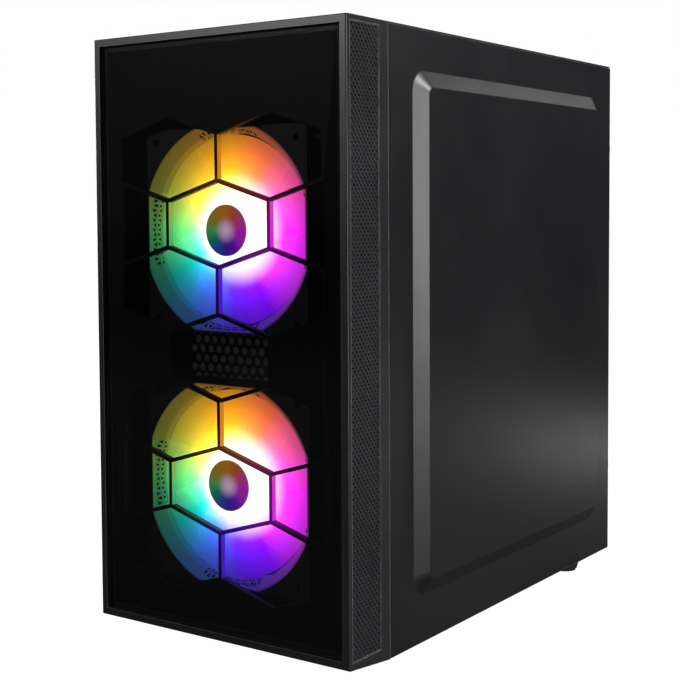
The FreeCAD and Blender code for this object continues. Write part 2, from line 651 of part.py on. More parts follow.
def rear_plate():
    """Rear wall with openings for the ports, cards, fan and power supply."""
    holes = [rect(IO_X0, IO_X0 + IO_WIDTH, IO_Z0, IO_Z1),
             rect(PSU_X0 + 5, PSU_X1 - 5, FLOOR + 5, PSU_Z1 - 5)]
    holes += [rect(SLOT_X0, SLOT_X1, z - 6.5, z + 6.5) for z in SLOT_Z]
    reach = REAR_FAN_SIZE / 2 - 3
    area = (REAR_FAN_X - reach, REAR_FAN_X + reach, REAR_FAN_Z - reach, REAR_FAN_Z + reach)
    for u, v in staggered(*area, 8, 7):
        if math.hypot(u - REAR_FAN_X, v - REAR_FAN_Z) < reach - 3:
            holes.append(circle(u, v, 3.0))
    holes += [circle(u, v, FAN_HOLE) for u, v in square_pattern(REAR_FAN_X, REAR_FAN_Z, REAR_FAN_HOLE_PITCH)]
    holes += [circle(PANEL_SCREW_X, z, SCREW_BORE) for z in PANEL_SCREW_Z]
    wall = sheet("front", rect(-CHASSIS, CHASSIS, BOTTOM, CEILING), REAR_IN, REAR, holes)
    wing = rect(REAR_IN - 20, REAR_IN, FLOOR, CEILING)
    screws = [circle(SCREW_REAR_Y, z, SCREW_BORE) for z in (SCREW_LOW, SCREW_HIGH)]
    return joined(wall, sheet("side", wing, -CHASSIS, -CHASSIS + SHEET, screws),
                  sheet("side", wing.copy(), CHASSIS - SHEET, CHASSIS))


def motherboard_tray():
    """Upright sheet that carries the main board, with cable openings and a cooler window."""
    holes = [rect(CABLE_SLOT_Y - 7, CABLE_SLOT_Y + 7, CABLE_Z - 30, CABLE_Z + 30, 6),
             rect(CABLE_SLOT_Y - 7, CABLE_SLOT_Y + 7, BOARD_LOW + 20, BOARD_LOW + 75, 6),
             rect(CPU_Y - 48, CPU_Y + 52, COOLER_Z - 50, COOLER_Z + 46, 8),
             rect(CPU_Y - 40, CPU_Y + 40, SHROUD_Z + 2.5, BOARD_LOW - 1, 2)]
    plate = sheet("side", rect(TRAY_FRONT, REAR_IN, FLOOR, CEILING), TRAY_X, TRAY_X + SHEET, holes)
    flange = 10.0
    folds = [block(TRAY_X + SHEET, TRAY_X + flange, TRAY_FRONT, REAR_IN - 21, low, low + SHEET)
             for low in (FLOOR, CEILING - SHEET)]
    return joined(plate, *folds)


def psu_shroud():
    """Cover over the power supply and drives: roof and left wall."""
    holes = [rect(-60, 10, SCREW_FRONT_Y + 24, SCREW_FRONT_Y + 38, 6)]
    holes += [slot(u, PSU_Y0 + 30 + v, 22, 4.0) for u in (-50, -20, 10, 40) for v in range(0, 90, 9)]
    front = SCREW_FRONT_Y + 9
    roof = sheet("top", rect(SHROUD_X, TRAY_X, front, REAR_IN), SHROUD_Z - SHEET, SHROUD_Z, holes)
    wall = block(SHROUD_X, SHROUD_X + SHEET, front, REAR_IN - 20.5, FLOOR, SHROUD_Z - SHEET)
    return joined(roof, wall)


def feet():
    """Four round feet, each a tapered moulding on a rubber pad."""
    solids = []
    pad = 1.5
    for side in (-1, 1):
        for x, y in ((side * FOOT_FRONT_X, FOOT_FRONT), (side * FOOT_REAR_X, REAR - FOOT_REAR)):
            solids.append(Part.makeCone(FOOT_RADIUS - 2, FOOT_RADIUS, FOOT_HEIGHT - pad, Vector(x, y, pad)))
            solids.append(Part.makeCylinder(FOOT_RADIUS - 3, pad, Vector(x, y, 0)))
    return solids


def expansion_brackets():
    """Blank slot covers and the double bracket of the graphics card."""
    solids = []
    for z in SLOT_Z[2:]:
        blank = block(SLOT_X0 - 4, SLOT_X1 + 2, REAR_IN - 1.0, REAR_IN, z - 9.3, z + 9.3)
        tab = block(SLOT_X0 - 4, SLOT_X0 - 3, REAR_IN - 12, REAR_IN - 1, z - 9.3, z + 9.3)
        solids.append(joined(blank, tab))
    holes = [slot(SLOT_X0 + 20 + i * 27, SLOT_Z[0], 17, 6.0) for i in range(3)]
    holes += [slot(SLOT_X0 + 12 + i * 9, SLOT_Z[1] + dz, 6, 2.6) for i in range(10) for dz in (-4, 0, 4)]
    outline = rect(SLOT_X0 - 4, SLOT_X1 + 2, SLOT_Z[1] - 9.3, SLOT_Z[0] + 9.3)
    card = sheet("front", outline, REAR_IN - 1.0, REAR_IN, holes)
    tab = block(SLOT_X0 - 4, SLOT_X0 - 3, REAR_IN - 12, REAR_IN - 1, SLOT_Z[1] - 9.3, SLOT_Z[0] + 9.3)
    solids.append(joined(card, tab))
    return solids


def drive_cage():
    """Bay under the shroud for two large drives."""
    y0, y1 = SCREW_FRONT_Y + 22, SCREW_FRONT_Y + 128
    x0, x1 = TRAY_X - 152, TRAY_X - 3
    high = FLOOR + 66
    holes = [slot((x0 + x1) / 2 + u, (y0 + y1) / 2 + v, 30, 8) for u in (-45, 0, 45) for v in (-25, 0, 25)]
    floor = sheet("top", rect(x0, x1, y0, y1), FLOOR, FLOOR + SHEET, holes)
    walls = []
    for y in (y0, y1 - SHEET):
        windows = [rect(x0 + 12 + i * 46, x0 + 48 + i * 46, FLOOR + 14 + k * 26, FLOOR + 30 + k * 26, 3)
                   for i in range(3) for k in range(2)]
        walls.append(sheet("front", rect(x0, x1, FLOOR + SHEET, high), y, y + SHEET, windows))
    return joined(floor, *walls)


def hard_drive():
    """3.5 inch drive lying in the cage, its long side across the case."""
    y0 = SCREW_FRONT_Y + 22 + SHEET + FIT
    x1 = TRAY_X - 4
    z0 = FLOOR + SHEET + 5
    body = block(x1 - 147, x1, y0, y0 + 101.6, z0, z0 + 24)
    lid = sheet("top", rect(x1 - 143, x1 - 4, y0 + 3, y0 + 98.6, 8), z0 + 24, z0 + 26)
    return joined(body, lid)


def solid_state_drive():
    """2.5 inch drive flat on the tray."""
    y0 = TRAY_FRONT + 5
    z0 = SHROUD_Z + 14
    body = block(TRAY_X - 7, TRAY_X, y0, y0 + 55, z0, z0 + 100)
    return body.makeFillet(1.5, [edge for edge in body.Edges if edge.Length < 7.01])


# ------------------------------------------------------------ board and cooling
# rear ports, top to bottom: name, height of its middle below the opening's top, width, height
REAR_PORTS = (("usb", 17.0, 14.0, 15.0), ("video", 46.0, 12.0, 38.0), ("hdmi", 76.0, 8.0, 10.0),
              ("usb", 96.5, 14.0, 15.0), ("network", 116.0, 15.5, 16.0), ("audio", 142.0, 11.0, 26.0))


def io_shield():
    """Stamped plate in the rear opening, cut out around each socket."""
    holes = []
    for _, drop, tall, wide in REAR_PORTS:
        z = IO_Z1 - drop
        x1 = BOARD_FACE - 1.0
        holes.append(rect(x1 - tall - FIT, x1 + FIT, z - wide / 2 - FIT, z + wide / 2 + FIT))
    outline = rect(IO_X0 + FIT, IO_X0 + IO_WIDTH - FIT, IO_Z0 + FIT, IO_Z1 - FIT, 1.0)
    return sheet("front", outline, REAR_IN, REAR, holes)


def rear_port_block():
    """Row of sockets along the board's rear edge."""
    solids = []
    for name, drop, tall, wide in REAR_PORTS:
        z = IO_Z1 - drop
        x1 = BOARD_FACE - 1.0
        foot = block(x1, BOARD_FACE, REAR - 20, REAR_IN - 1, z - wide / 2, z + wide / 2)
        shell = block(x1 - tall, x1, REAR - 22, REAR + 0.6, z - wide / 2, z + wide / 2)
        if name == "network":
            shell = shell.cut(block(x1 - tall + 1.6, x1 - 2.6, REAR - 13, REAR + 2, z - 6, z + 6))
        elif name == "usb":
            for x in (x1 - tall + 4.0, x1 - 4.0):
                shell = shell.cut(block(x - 2.6, x + 2.6, REAR - 12, REAR + 2, z - 6.4, z + 6.4))
        elif name == "audio":
            for step in (-8, 0, 8):
                shell = shell.cut(rod(1.8, Vector(x1 - tall / 2, REAR - 14, z + step),
                                      Vector(x1 - tall / 2, REAR + 2, z + step)))
        else:
            half = wide / 2 - 2
            shell = shell.cut(block(x1 - tall + 2, x1 - 2, REAR - 6, REAR + 2, z - half, z + half))
        solids.append(joined(shell, foot))
    return solids


BOARD_HOLES = ((10.2, 10.2), (10.2, 88.9), (10.2, 233.6), (163.0, 10.2), (163.0, 88.9), (163.0, 233.6),
               (199.0, 10.2), (199.0, 160.0))


def mainboard():
    """Bare main board with its mounting holes."""
    holes = [circle(BOARD_BACK - u, BOARD_TOP - v, 2.0) for u, v in BOARD_HOLES]
    outline = rect(BOARD_FRONT, BOARD_BACK, BOARD_LOW, BOARD_TOP)
    return sheet("side", outline, BOARD_FACE, BOARD_FACE + BOARD_THICK, holes)


def board_sockets():
    """Processor seat, memory and card slots, and the main power connector."""
    face = BOARD_FACE
    solids = [block(face - 4.0, face, CPU_Y - 24, CPU_Y + 24, COOLER_Z - 24, COOLER_Z + 24)]
    for i in range(2):
        y = COOLER_FAN_Y - 12 - i * 10
        solids.append(block(face - 7.0, face, y - 3.2, y + 3.2, BOARD_TOP - 148, BOARD_TOP - 8))
    for i, z in enumerate(SLOT_Z):
        length = 89.0 if i == 0 else 25.0
        y1 = BOARD_BACK - 46
        bottom = block(face - 11.0, face, y1 - length, y1, z - 3.6, z + 3.6)
        if i == 0:
            bottom = bottom.cut(block(face - 12, face - 3.0, y1 - length + 2, y1 - 2, z - 1.1, z + 1.1))
        solids.append(bottom)
    solids.append(block(face - 11.9, face, CABLE_Y - 4.5, CABLE_Y + 4.5, CABLE_Z - 26, CABLE_Z + 26))
    for i in range(2):
        z = BOARD_LOW + 40 + i * 17
        solids.append(block(face - 8.0, face, BOARD_FRONT + 2, BOARD_FRONT + 12, z, z + 14))
    return solids


def memory_modules():
    """Two memory sticks standing in their slots."""
    solids = []
    for i in range(2):
        y = COOLER_FAN_Y - 12 - i * 10
        x1 = BOARD_FACE - 7.0
        card = block(x1 - 30, x1, y - 0.7, y + 0.7, BOARD_TOP - 145, BOARD_TOP - 11)
        spreader = block(x1 - 32, x1 - 5, y - 2.4, y + 2.4, BOARD_TOP - 142, BOARD_TOP - 14)
        solids.append(joined(card, spreader))
    return solids


PIPE_SPOTS = ((-12.0, -17.0), (4.0, -9.0), (4.0, 9.0), (-12.0, 17.0))
PIPE_RADIUS = 3.0


def heat_pipes():
    """Copper base on the processor with four pipes that run out through the fins."""
    x1 = BOARD_FACE - 4.0
    base = block(x1 - 10, x1, CPU_Y - 19, CPU_Y + 19, COOLER_Z - 21, COOLER_Z + 21)
    pipes = []
    for dy, dz in PIPE_SPOTS:
        point = Vector(0, CPU_Y + dy, COOLER_Z + dz)
        pipes.append(rod(PIPE_RADIUS, point + Vector(COOLER_X - 62, 0, 0), point + Vector(x1 - 4, 0, 0)))
    return joined(base, *pipes)


def board_heatsinks():
    """Tower fins of the processor cooler and the two low heat sinks on the board."""
    y0 = COOLER_FAN_Y + FAN_DEPTH
    outline = comb(COOLER_X - 60, COOLER_X + 44, y0, y0 + 50, 2.6, 0.5, 0.6)
    tower = sheet("top", outline, COOLER_Z - 60, COOLER_Z + 60)
    for dy, dz in PIPE_SPOTS:
        point = Vector(0, CPU_Y + dy, COOLER_Z + dz)
        tower = tower.cut(rod(PIPE_RADIUS, point - Vector(200, 0, 0), point + Vector(200, 0, 0)))
    solids = [tower]
    face = BOARD_FACE
    y1 = REAR - 26
    vrm = comb(y1 - 26, y1, 0, 18, 5.0, 1.6, 4.0)
    piece = sheet("top", vrm, 0, 72)
    piece.Placement = Placement(Vector(face - 0.4, 0, COOLER_Z - 36), Rotation(Vector(0, 0, 1), 90))
    solids.append(piece)
    low = BOARD_LOW + 62
    chip = comb(BOARD_FRONT + 30, BOARD_FRONT + 66, 0, 9, 4.5, 1.6, 3.0)
    piece = sheet("top", chip, 0, 36)
    piece.Placement = Placement(Vector(face - 0.4, 0, low - 36), Rotation(Vector(0, 0, 1), 90))
    solids.append(piece)
    return [solid.Solids[0] for solid in solids]


# ---------------------------------------------------------------- graphics card
CARD_Z = SLOT_Z[0]
CARD_X1 = BOARD_FACE - 4.0
CARD_X0 = CARD_X1 - CARD_WIDTH
CARD_Y1 = REAR_IN - 1.2
CARD_Y0 = CARD_Y1 - CARD_LENGTH
CARD_FAN_SIZE = 92.0
CARD_FAN_X = (CARD_X0 + CARD_X1) / 2 - 3
CARD_FAN_Y = (CARD_Y0 + CARD_Y1) / 2


def graphics_board():
    """Circuit board of the graphics card with its edge contact."""
    board = block(CARD_X0, CARD_X1 - 7.5, CARD_Y0, CARD_Y1, CARD_Z - 0.8, CARD_Z + 0.8)
    y1 = BOARD_BACK - 50
    edge = block(CARD_X1 - 7.5, CARD_X1 + 0.5, y1 - 80, y1, CARD_Z - 0.8, CARD_Z + 0.8)
    return joined(board, edge)


def graphics_heatsink():
    """Finned block under the graphics board."""
    x0, x1 = CARD_X0 + 6, CARD_X1 - 10
    outline = comb(x0, x1, 0, 15, 3.4, 0.7, 3.0)
    fins = sheet("front", outline, CARD_Y0 + 6, CARD_Y1 - 10)
    fins.rotate(Vector((x0 + x1) / 2, 0, 0), Vector(0, 1, 0), 180)
    fins.translate(Vector(0, 0, CARD_Z - 2.8))
    return fins.Solids[0]


def graphics_shroud():
    """Cooler cover of the graphics card: a shallow tray with a round fan well."""
    low, high = CARD_Z - CARD_DROP, CARD_Z - 2.0
    x0, x1 = CARD_X0 + 2, CARD_X1 - 7
    y0, y1 = CARD_Y0 + 2, CARD_Y1 - 4
    outer = sheet("top", rect(x0, x1, y0, y1, 6), low, high)
    inner = sheet("top", rect(x0 + 1.6, x1 - 1.6, y0 + 1.6, y1 - 1.6, 4.4), low + 2, high + 1)
    centre = Vector(CARD_FAN_X, CARD_FAN_Y, low)
    well = rod(CARD_FAN_SIZE / 2 - 1.0, centre - Vector(0, 0, 1), centre + Vector(0, 0, 3))
    return outer.cut([inner, well]).Solids[0]


def graphics_rotor():
    """Shallow fan of the graphics card, facing down."""
    tip = CARD_FAN_SIZE / 2 - 2.5
    centre = Vector(CARD_FAN_X, CARD_FAN_Y, CARD_Z - CARD_DROP)
    hub = rod(17, centre + Vector(0, 0, 0.5), centre + Vector(0, 0, 14))
    ring = tube(tip, 16.0, centre, centre + Vector(0, 0, 15))
    blades = []
    for i in range(11):
        blade = block(14, tip + 5, -0.6, 0.6, -7.5, 7.5)
        blade.rotate(Vector(0, 0, 0), Vector(1, 0, 0), 52)
        blade.rotate(Vector(0, 0, 0), Vector(0, 0, 1), 360.0 * i / 11)
        blade.translate(centre + Vector(0, 0, 7.5))
        blades.append(blade.common(ring).Solids[0])
    return joined(hub, *blades)


# ----------------------------------------------------------------- power supply
def psu_housing():
    """Steel box with a fan opening below and a perforated rear wall."""
    shell = block(PSU_X0, PSU_X1, PSU_Y0, REAR_IN, FLOOR, PSU_Z1)
    wall = PSU_WALL
    inner = block(PSU_X0 + wall, PSU_X1 - wall, PSU_Y0 + wall, REAR, FLOOR + wall, PSU_Z1 - wall)
    centre = Vector(PSU_FAN_X, PSU_FAN_Y, FLOOR)
    fan_hole = rod(FAN_SIZE / 2 - 2, centre - Vector(0, 0, 1), centre + Vector(0, 0, 3))
    shell = shell.cut([inner, fan_hole])
    holes = [rect(INLET_X - 13.8, INLET_X + 13.8, INLET_Z - 10, INLET_Z + 10, 0.2),
             rect(INLET_X - 6.6, INLET_X + 6.6, SWITCH_Z - 9.8, SWITCH_Z + 9.8, 1)]
    holes += [circle(u, v, 3.2) for u, v in
              staggered(PSU_X0 + 10, INLET_X - 22, FLOOR + 10, PSU_Z1 - 10, 8, 7)]
    face = rect(PSU_X0 + wall, PSU_X1 - wall, FLOOR + wall, PSU_Z1 - wall)
    return joined(shell, sheet("front", face, REAR_IN - wall, REAR_IN, holes))


def power_inlet():
    """Appliance inlet with three blades in a hollow body."""
    back = REAR_IN - INLET_DEPTH
    body = block(INLET_X - 13.5, INLET_X + 13.5, back, REAR_IN, INLET_Z - 9.8, INLET_Z + 9.8)
    flange = sheet("front", rect(INLET_X - 15.5, INLET_X + 15.5, INLET_Z - 11.8, INLET_Z + 11.8, 2),
                   REAR_IN, REAR_IN + 1.6)
    corners = ((-12, -8.2), (12, -8.2), (12, 4), (8, 8.2), (-8, 8.2), (-12, 4))
    hollow = polygon([(INLET_X + dx, INLET_Z + dz) for dx, dz in corners])
    cavity = sheet("front", hollow, back + 3, REAR_IN + 3)
    shell = joined(body, flange).cut(cavity)
    blades = []
    for dx, dz in ((-7, -2), (0, 2.5), (7, -2)):
        blades.append(block(INLET_X + dx - 1, INLET_X + dx + 1, back + 1, REAR_IN - 4,
                            INLET_Z + dz - 2, INLET_Z + dz + 2))
    return joined(shell, *blades)


def rocker_switch():
    """Mains rocker with its pivot across the case."""
    half = 5.9
    corners = ((-7, -5), (-1, -8), (2.4, -8.6), (1.2, 0), (2.4, 8.6), (-1, 8), (-7, 5))
    outline = polygon([(REAR_IN + dy, SWITCH_Z + dz) for dy, dz in corners])
    return sheet("side", outline, INLET_X - half, INLET_X + half)


# ------------------------------------------------------------------ side panels
def pressed_field(inset, rise, base):
    """Thick plate with the raised field of the right panel, its edges softened."""
    y0, y1 = PANEL_FIELD_FRONT + inset, REAR - PANEL_FIELD_REAR - inset
    z0, z1 = BOTTOM + PANEL_FIELD_FOOT + inset, TOP - PANEL_FIELD_HEAD - inset
    foot = rect(y0, y1, z0, z1, PANEL_CORNER - inset)
    step = PANEL_SLOPE
    crown = rect(y0 + step, y1 - step, z0 + step, z1 - step, PANEL_CORNER - inset - step + 2.0)
    foot.Placement = Placement(NORMALS["side"] * base, TURNS["side"])
    crown.Placement = Placement(NORMALS["side"] * (base + rise), TURNS["side"])
    field = Part.makeLoft([foot, crown], True)
    slab = block(base - 20, base, SHELL_Y - 20, REAR + 20, BOTTOM - 20, TOP + 20)
    solid = slab.fuse(field)
    foot_edges = [edge for edge in edges_on(solid, "X", base)
                  if y0 - 1 < edge.BoundBox.YMin and edge.BoundBox.YMax < y1 + 1]
    return solid.makeFillet(PANEL_BEND, edges_on(solid, "X", base + rise) + foot_edges)


def right_side_panel():
    """Steel panel with its pressed field, folded edges and a rear tab for two screws."""
    outer = pressed_field(0.0, PANEL_RISE, HALF)
    inner = pressed_field(SHEET * 0.6, PANEL_RISE, HALF - SHEET)
    z0, z1 = BOTTOM + GAP, CEILING - GAP
    rear = FOLD_Y + SHEET
    window = block(HALF - SHEET, HALF + 20, SHELL_Y, rear, z0, z1)
    skin = outer.cut(inner).common(window)
    lip = CHASSIS + GAP + 1.0
    skin_in = HALF - SHEET
    fold_x = PANEL_SCREW_X - 6.0
    folds = [block(lip, skin_in, SHELL_Y, SHELL_Y + SHEET, z0, z1),
             block(lip, skin_in, SHELL_Y + SHEET, rear, z0, z0 + SHEET),
             block(lip, skin_in, SHELL_Y + SHEET, rear, z1 - SHEET, z1)]
    screws = [circle(PANEL_SCREW_X, z, SCREW_BORE + 0.3) for z in PANEL_SCREW_Z]
    folds.append(sheet("front", rect(fold_x, skin_in, z0 + 4, z1 - 4), FOLD_Y, rear, screws))
    return joined(skin, *folds)


def left_glass_panel():
    """Clear toughened pane over the inside of the case, held at its four corners."""
    screws = [circle(y, z, 3.4) for y in (SCREW_FRONT_Y, SCREW_REAR_Y) for z in (SCREW_LOW, SCREW_HIGH)]
    outline = rect(SHELL_Y, REAR, BOTTOM + GAP, CEILING - GAP, 2.0)
    return sheet("side", outline, -HALF, -HALF + SIDE_GLASS, screws)


def glass_washers():
    """Rubber washers on both faces of the side pane."""
    solids = []
    for y in (SCREW_FRONT_Y, SCREW_REAR_Y):
        for z in (SCREW_LOW, SCREW_HIGH):
            for x in (-HALF - WASHER, -HALF + SIDE_GLASS):
                solids.append(tube(5.2, SCREW_SHANK + GAP, Vector(x, y, z), Vector(x + WASHER, y, z)))
    return solids


def thumbscrew(reach):
    """Knurled head with a threaded shank: the head's underside is at x = 0, outwards is -x."""
    head = rod(SCREW_HEAD, Vector(-SCREW_HEIGHT, 0, 0), Vector(0, 0, 0))
    head = head.makeFillet(0.8, edges_on(head, "X", -SCREW_HEIGHT))
    grooves = []
    for i in range(16):
        angle = math.radians(22.5 * i)
        y, z = (SCREW_HEAD + 0.35) * math.cos(angle), (SCREW_HEAD + 0.35) * math.sin(angle)
        grooves.append(rod(0.8, Vector(-SCREW_HEIGHT - 1, y, z), Vector(-1.6, y, z)))
    head = head.cut(grooves)
    driver = block(-SCREW_HEIGHT - 1, -SCREW_HEIGHT + 1.6, -3.4, 3.4, -0.5, 0.5)
    driver = driver.fuse(block(-SCREW_HEIGHT - 1, -SCREW_HEIGHT + 1.6, -0.5, 0.5, -3.4, 3.4))
    return joined(head.cut(driver), rod(SCREW_SHANK, Vector(-0.5, 0, 0), Vector(reach, 0, 0)))


def fasteners():
    """Rivet nuts, fan and power supply screws, and the spacers under the main board."""
    solids = []
    inside = -CHASSIS + SHEET
    for y in (SCREW_FRONT_Y, SCREW_REAR_Y):
        for z in (SCREW_LOW, SCREW_HIGH):
            solids.append(tube(3.8, SCREW_BORE, Vector(inside, y, z), Vector(inside + 7, y, z)))
    for z in PANEL_SCREW_Z:
        spot = Vector(PANEL_SCREW_X, REAR_IN, z)
        nut = tube(3.4, SCREW_BORE, spot - Vector(0, 6, 0), spot)
        solids.append(nut)
    back = PLATE_Y + SHEET
    for fan_z in (UPPER_FAN_Z, LOWER_FAN_Z):
        for x, z in square_pattern(0, fan_z, FAN_HOLE_PITCH):
            head = rod(3.6, Vector(x, back, z), Vector(x, back + 1.8, z))
            solids.append(joined(head, rod(FAN_HOLE - 0.2, Vector(x, back - 5, z), Vector(x, back, z))))
    rear_spots = square_pattern(REAR_FAN_X, REAR_FAN_Z, REAR_FAN_HOLE_PITCH)
    for x, z in rear_spots:
        head = rod(3.6, Vector(x, REAR, z), Vector(x, REAR + 1.8, z))
        solids.append(joined(head, rod(FAN_HOLE - 0.2, Vector(x, REAR - 5, z), Vector(x, REAR, z))))
    for u, v in BOARD_HOLES:
        spot = Vector(BOARD_FACE + BOARD_THICK, BOARD_BACK - u, BOARD_TOP - v)
        post = rod(2.8, spot, spot + Vector(STANDOFF, 0, 0))
        head = rod(2.9, spot - Vector(BOARD_THICK + 1.8, 0, 0), spot - Vector(BOARD_THICK, 0, 0))
        solids.append(joined(post, head, rod(1.7, spot - Vector(BOARD_THICK + 1, 0, 0), spot)))
    return solids


# ------------------------------------------------------- filters and the cables
def top_filter():
    """Dust filter that lies on the roof vent, held by its magnetic edge."""
    half = VENT_HALF + 6
    outline = rect(-half, half, VENT_Y0 - 12, VENT_Y1 + 12, 6)
    low = TOP + GAP
    frame = sheet("top", outline, low, low + FILTER_THICK)
    recess = rect(-half + 6, half - 6, VENT_Y0 - 6, VENT_Y1 + 6, 3)
    field = sheet("top", recess, low + 0.8, low + FILTER_THICK + 1)
    return frame.cut(field).Solids[0]


def psu_filter():
    """Slide-out dust filter under the power supply, with a pull tab at the rear."""
    half = 66.0 - GAP - 0.2
    z0, z1 = BOTTOM - 3.8, BOTTOM - 0.5
    y0, y1 = REAR - 148, REAR - 1
    frame = sheet("top", rect(-half, half, y0, y1, 2), z0, z1)
    field = sheet("top", rect(-half + 7, half - 7, y0 + 7, y1 - 14, 3), z0 + 0.8, z1 + 1)
    tab = sheet("top", rect(-14, 14, y1 - 1, REAR + 4, 2), z0, z0 + 2)
    return joined(frame.cut(field), tab)


def internal_cables():
    """Flat power cable from the tray to the board, and the lead of the upper fan."""
    half = 1.75
    centre = (CABLE_Y + CABLE_SLOT_Y) / 2
    bend = (CABLE_Y - CABLE_SLOT_Y) / 2
    x_in = BOARD_FACE - 11.9
    x_turn = x_in - 8
    x_out = TRAY_X + 12

    def spot(x, y):
        return Vector(x, y, 0)

    outline = Part.Wire([
        Part.makeLine(spot(x_in, CABLE_Y + half), spot(x_turn, CABLE_Y + half)),
        Part.Arc(spot(x_turn, CABLE_Y + half), spot(x_turn - bend - half, centre),
                 spot(x_turn, CABLE_SLOT_Y - half)).toShape(),
        Part.makeLine(spot(x_turn, CABLE_SLOT_Y - half), spot(x_out, CABLE_SLOT_Y - half)),
        Part.makeLine(spot(x_out, CABLE_SLOT_Y - half), spot(x_out, CABLE_SLOT_Y + half)),
        Part.makeLine(spot(x_out, CABLE_SLOT_Y + half), spot(x_turn, CABLE_SLOT_Y + half)),
        Part.Arc(spot(x_turn, CABLE_SLOT_Y + half), spot(x_turn - bend + half, centre),
                 spot(x_turn, CABLE_Y - half)).toShape(),
        Part.makeLine(spot(x_turn, CABLE_Y - half), spot(x_in, CABLE_Y - half)),
        Part.makeLine(spot(x_in, CABLE_Y - half), spot(x_in, CABLE_Y + half))])
    strip = sheet("top", outline, CABLE_Z - 25, CABLE_Z + 25)
    fan_top = UPPER_FAN_Z + FAN_SIZE / 2
    mid_x = (LEAD_X[0] + LEAD_X[1]) / 2
    mid_z = (LEAD_Z[0] + LEAD_Z[1]) / 2
    route = [(mid_x - 16, PLATE_Y - 1.8, fan_top + 0.8), (mid_x - 14, PLATE_Y - 2.6, fan_top + 7),
             (mid_x, PLATE_Y + 0.4, mid_z), (mid_x + 14, PLATE_Y + 10, mid_z + 4),
             (mid_x + 36, PLATE_Y + 20, mid_z + 2), (TRAY_X - 8, TRAY_FRONT + 8, mid_z - 8),
             (TRAY_X - 1.3, TRAY_FRONT + 22, mid_z - 14)]
    return [strip, lead(route, 1.1)]


# ------------------------------------------------------------------- write it all
def fan_nodes():
    """Every piece of the five framed fans, built once per size and placed."""
    frame = fan_frame(FAN_SIZE, FAN_HOLE_PITCH)
    rotor = fan_rotor(FAN_SIZE)
    ring = light_ring(FAN_SIZE)
    coil = motor_coil(FAN_SIZE)
    small_frame = fan_frame(REAR_FAN_SIZE, REAR_FAN_HOLE_PITCH)
    small_rotor = fan_rotor(REAR_FAN_SIZE)
    small_coil = motor_coil(REAR_FAN_SIZE)
    cap = rod(CAP_RADIUS, Vector(0, HUB_FACE - CAP_THICK, 0), Vector(0, HUB_FACE, 0))
    rear_y = REAR_IN - FAN_DEPTH
    psu_z = FLOOR + PSU_WALL
    nodes = {}
    for name, z in (("upper", UPPER_FAN_Z), ("lower", LOWER_FAN_Z)):
        for part, shape in (("frame", frame), ("light_ring", ring), ("rotor", rotor), ("cap", cap)):
            nodes[name + "_fan_" + part] = [facing_front(shape, 0, FAN_FRONT, z)]
    nodes["cooler_fan_frame"] = [facing_front(frame, COOLER_X, COOLER_FAN_Y, COOLER_Z)]
    nodes["cooler_rotor"] = [facing_front(rotor, COOLER_X, COOLER_FAN_Y, COOLER_Z)]
    nodes["rear_fan_frame"] = [facing_front(small_frame, REAR_FAN_X, rear_y, REAR_FAN_Z)]
    nodes["rear_fan_rotor"] = [facing_front(small_rotor, REAR_FAN_X, rear_y, REAR_FAN_Z)]
    nodes["psu_fan_frame"] = [facing_down(frame, PSU_FAN_X, PSU_FAN_Y, psu_z)]
    nodes["psu_rotor"] = [facing_down(rotor, PSU_FAN_X, PSU_FAN_Y, psu_z)]
    nodes["fan_motors"] = [facing_front(coil, 0, FAN_FRONT, UPPER_FAN_Z),
                           facing_front(coil, 0, FAN_FRONT, LOWER_FAN_Z),
                           facing_front(coil, COOLER_X, COOLER_FAN_Y, COOLER_Z),
                           facing_front(small_coil, REAR_FAN_X, rear_y, REAR_FAN_Z),
                           facing_down(coil, PSU_FAN_X, PSU_FAN_Y, psu_z)]
    return nodes


def thumbscrew_nodes():
    """The four screws of the side pane and the two of the right panel."""
    nodes = {}
    under = -HALF - WASHER
    left = thumbscrew(-CHASSIS + SHEET + 6 - under)
    spots = {"front_lower": (SCREW_FRONT_Y, SCREW_LOW), "front_upper": (SCREW_FRONT_Y, SCREW_HIGH),
             "rear_lower": (SCREW_REAR_Y, SCREW_LOW), "rear_upper": (SCREW_REAR_Y, SCREW_HIGH)}
    for name, (y, z) in spots.items():
        screw = left.copy()
        screw.translate(Vector(under, y, z))
        nodes["glass_thumbscrew_" + name] = [screw]
    rear = thumbscrew(7.0)
    rear.rotate(Vector(0, 0, 0), Vector(0, 0, 1), -90)
    for name, z in zip(("lower", "upper"), PANEL_SCREW_Z):
        screw = rear.copy()
        screw.translate(Vector(PANEL_SCREW_X, FOLD_Y + SHEET, z))
        nodes["panel_thumbscrew_" + name] = [screw]
    return nodes


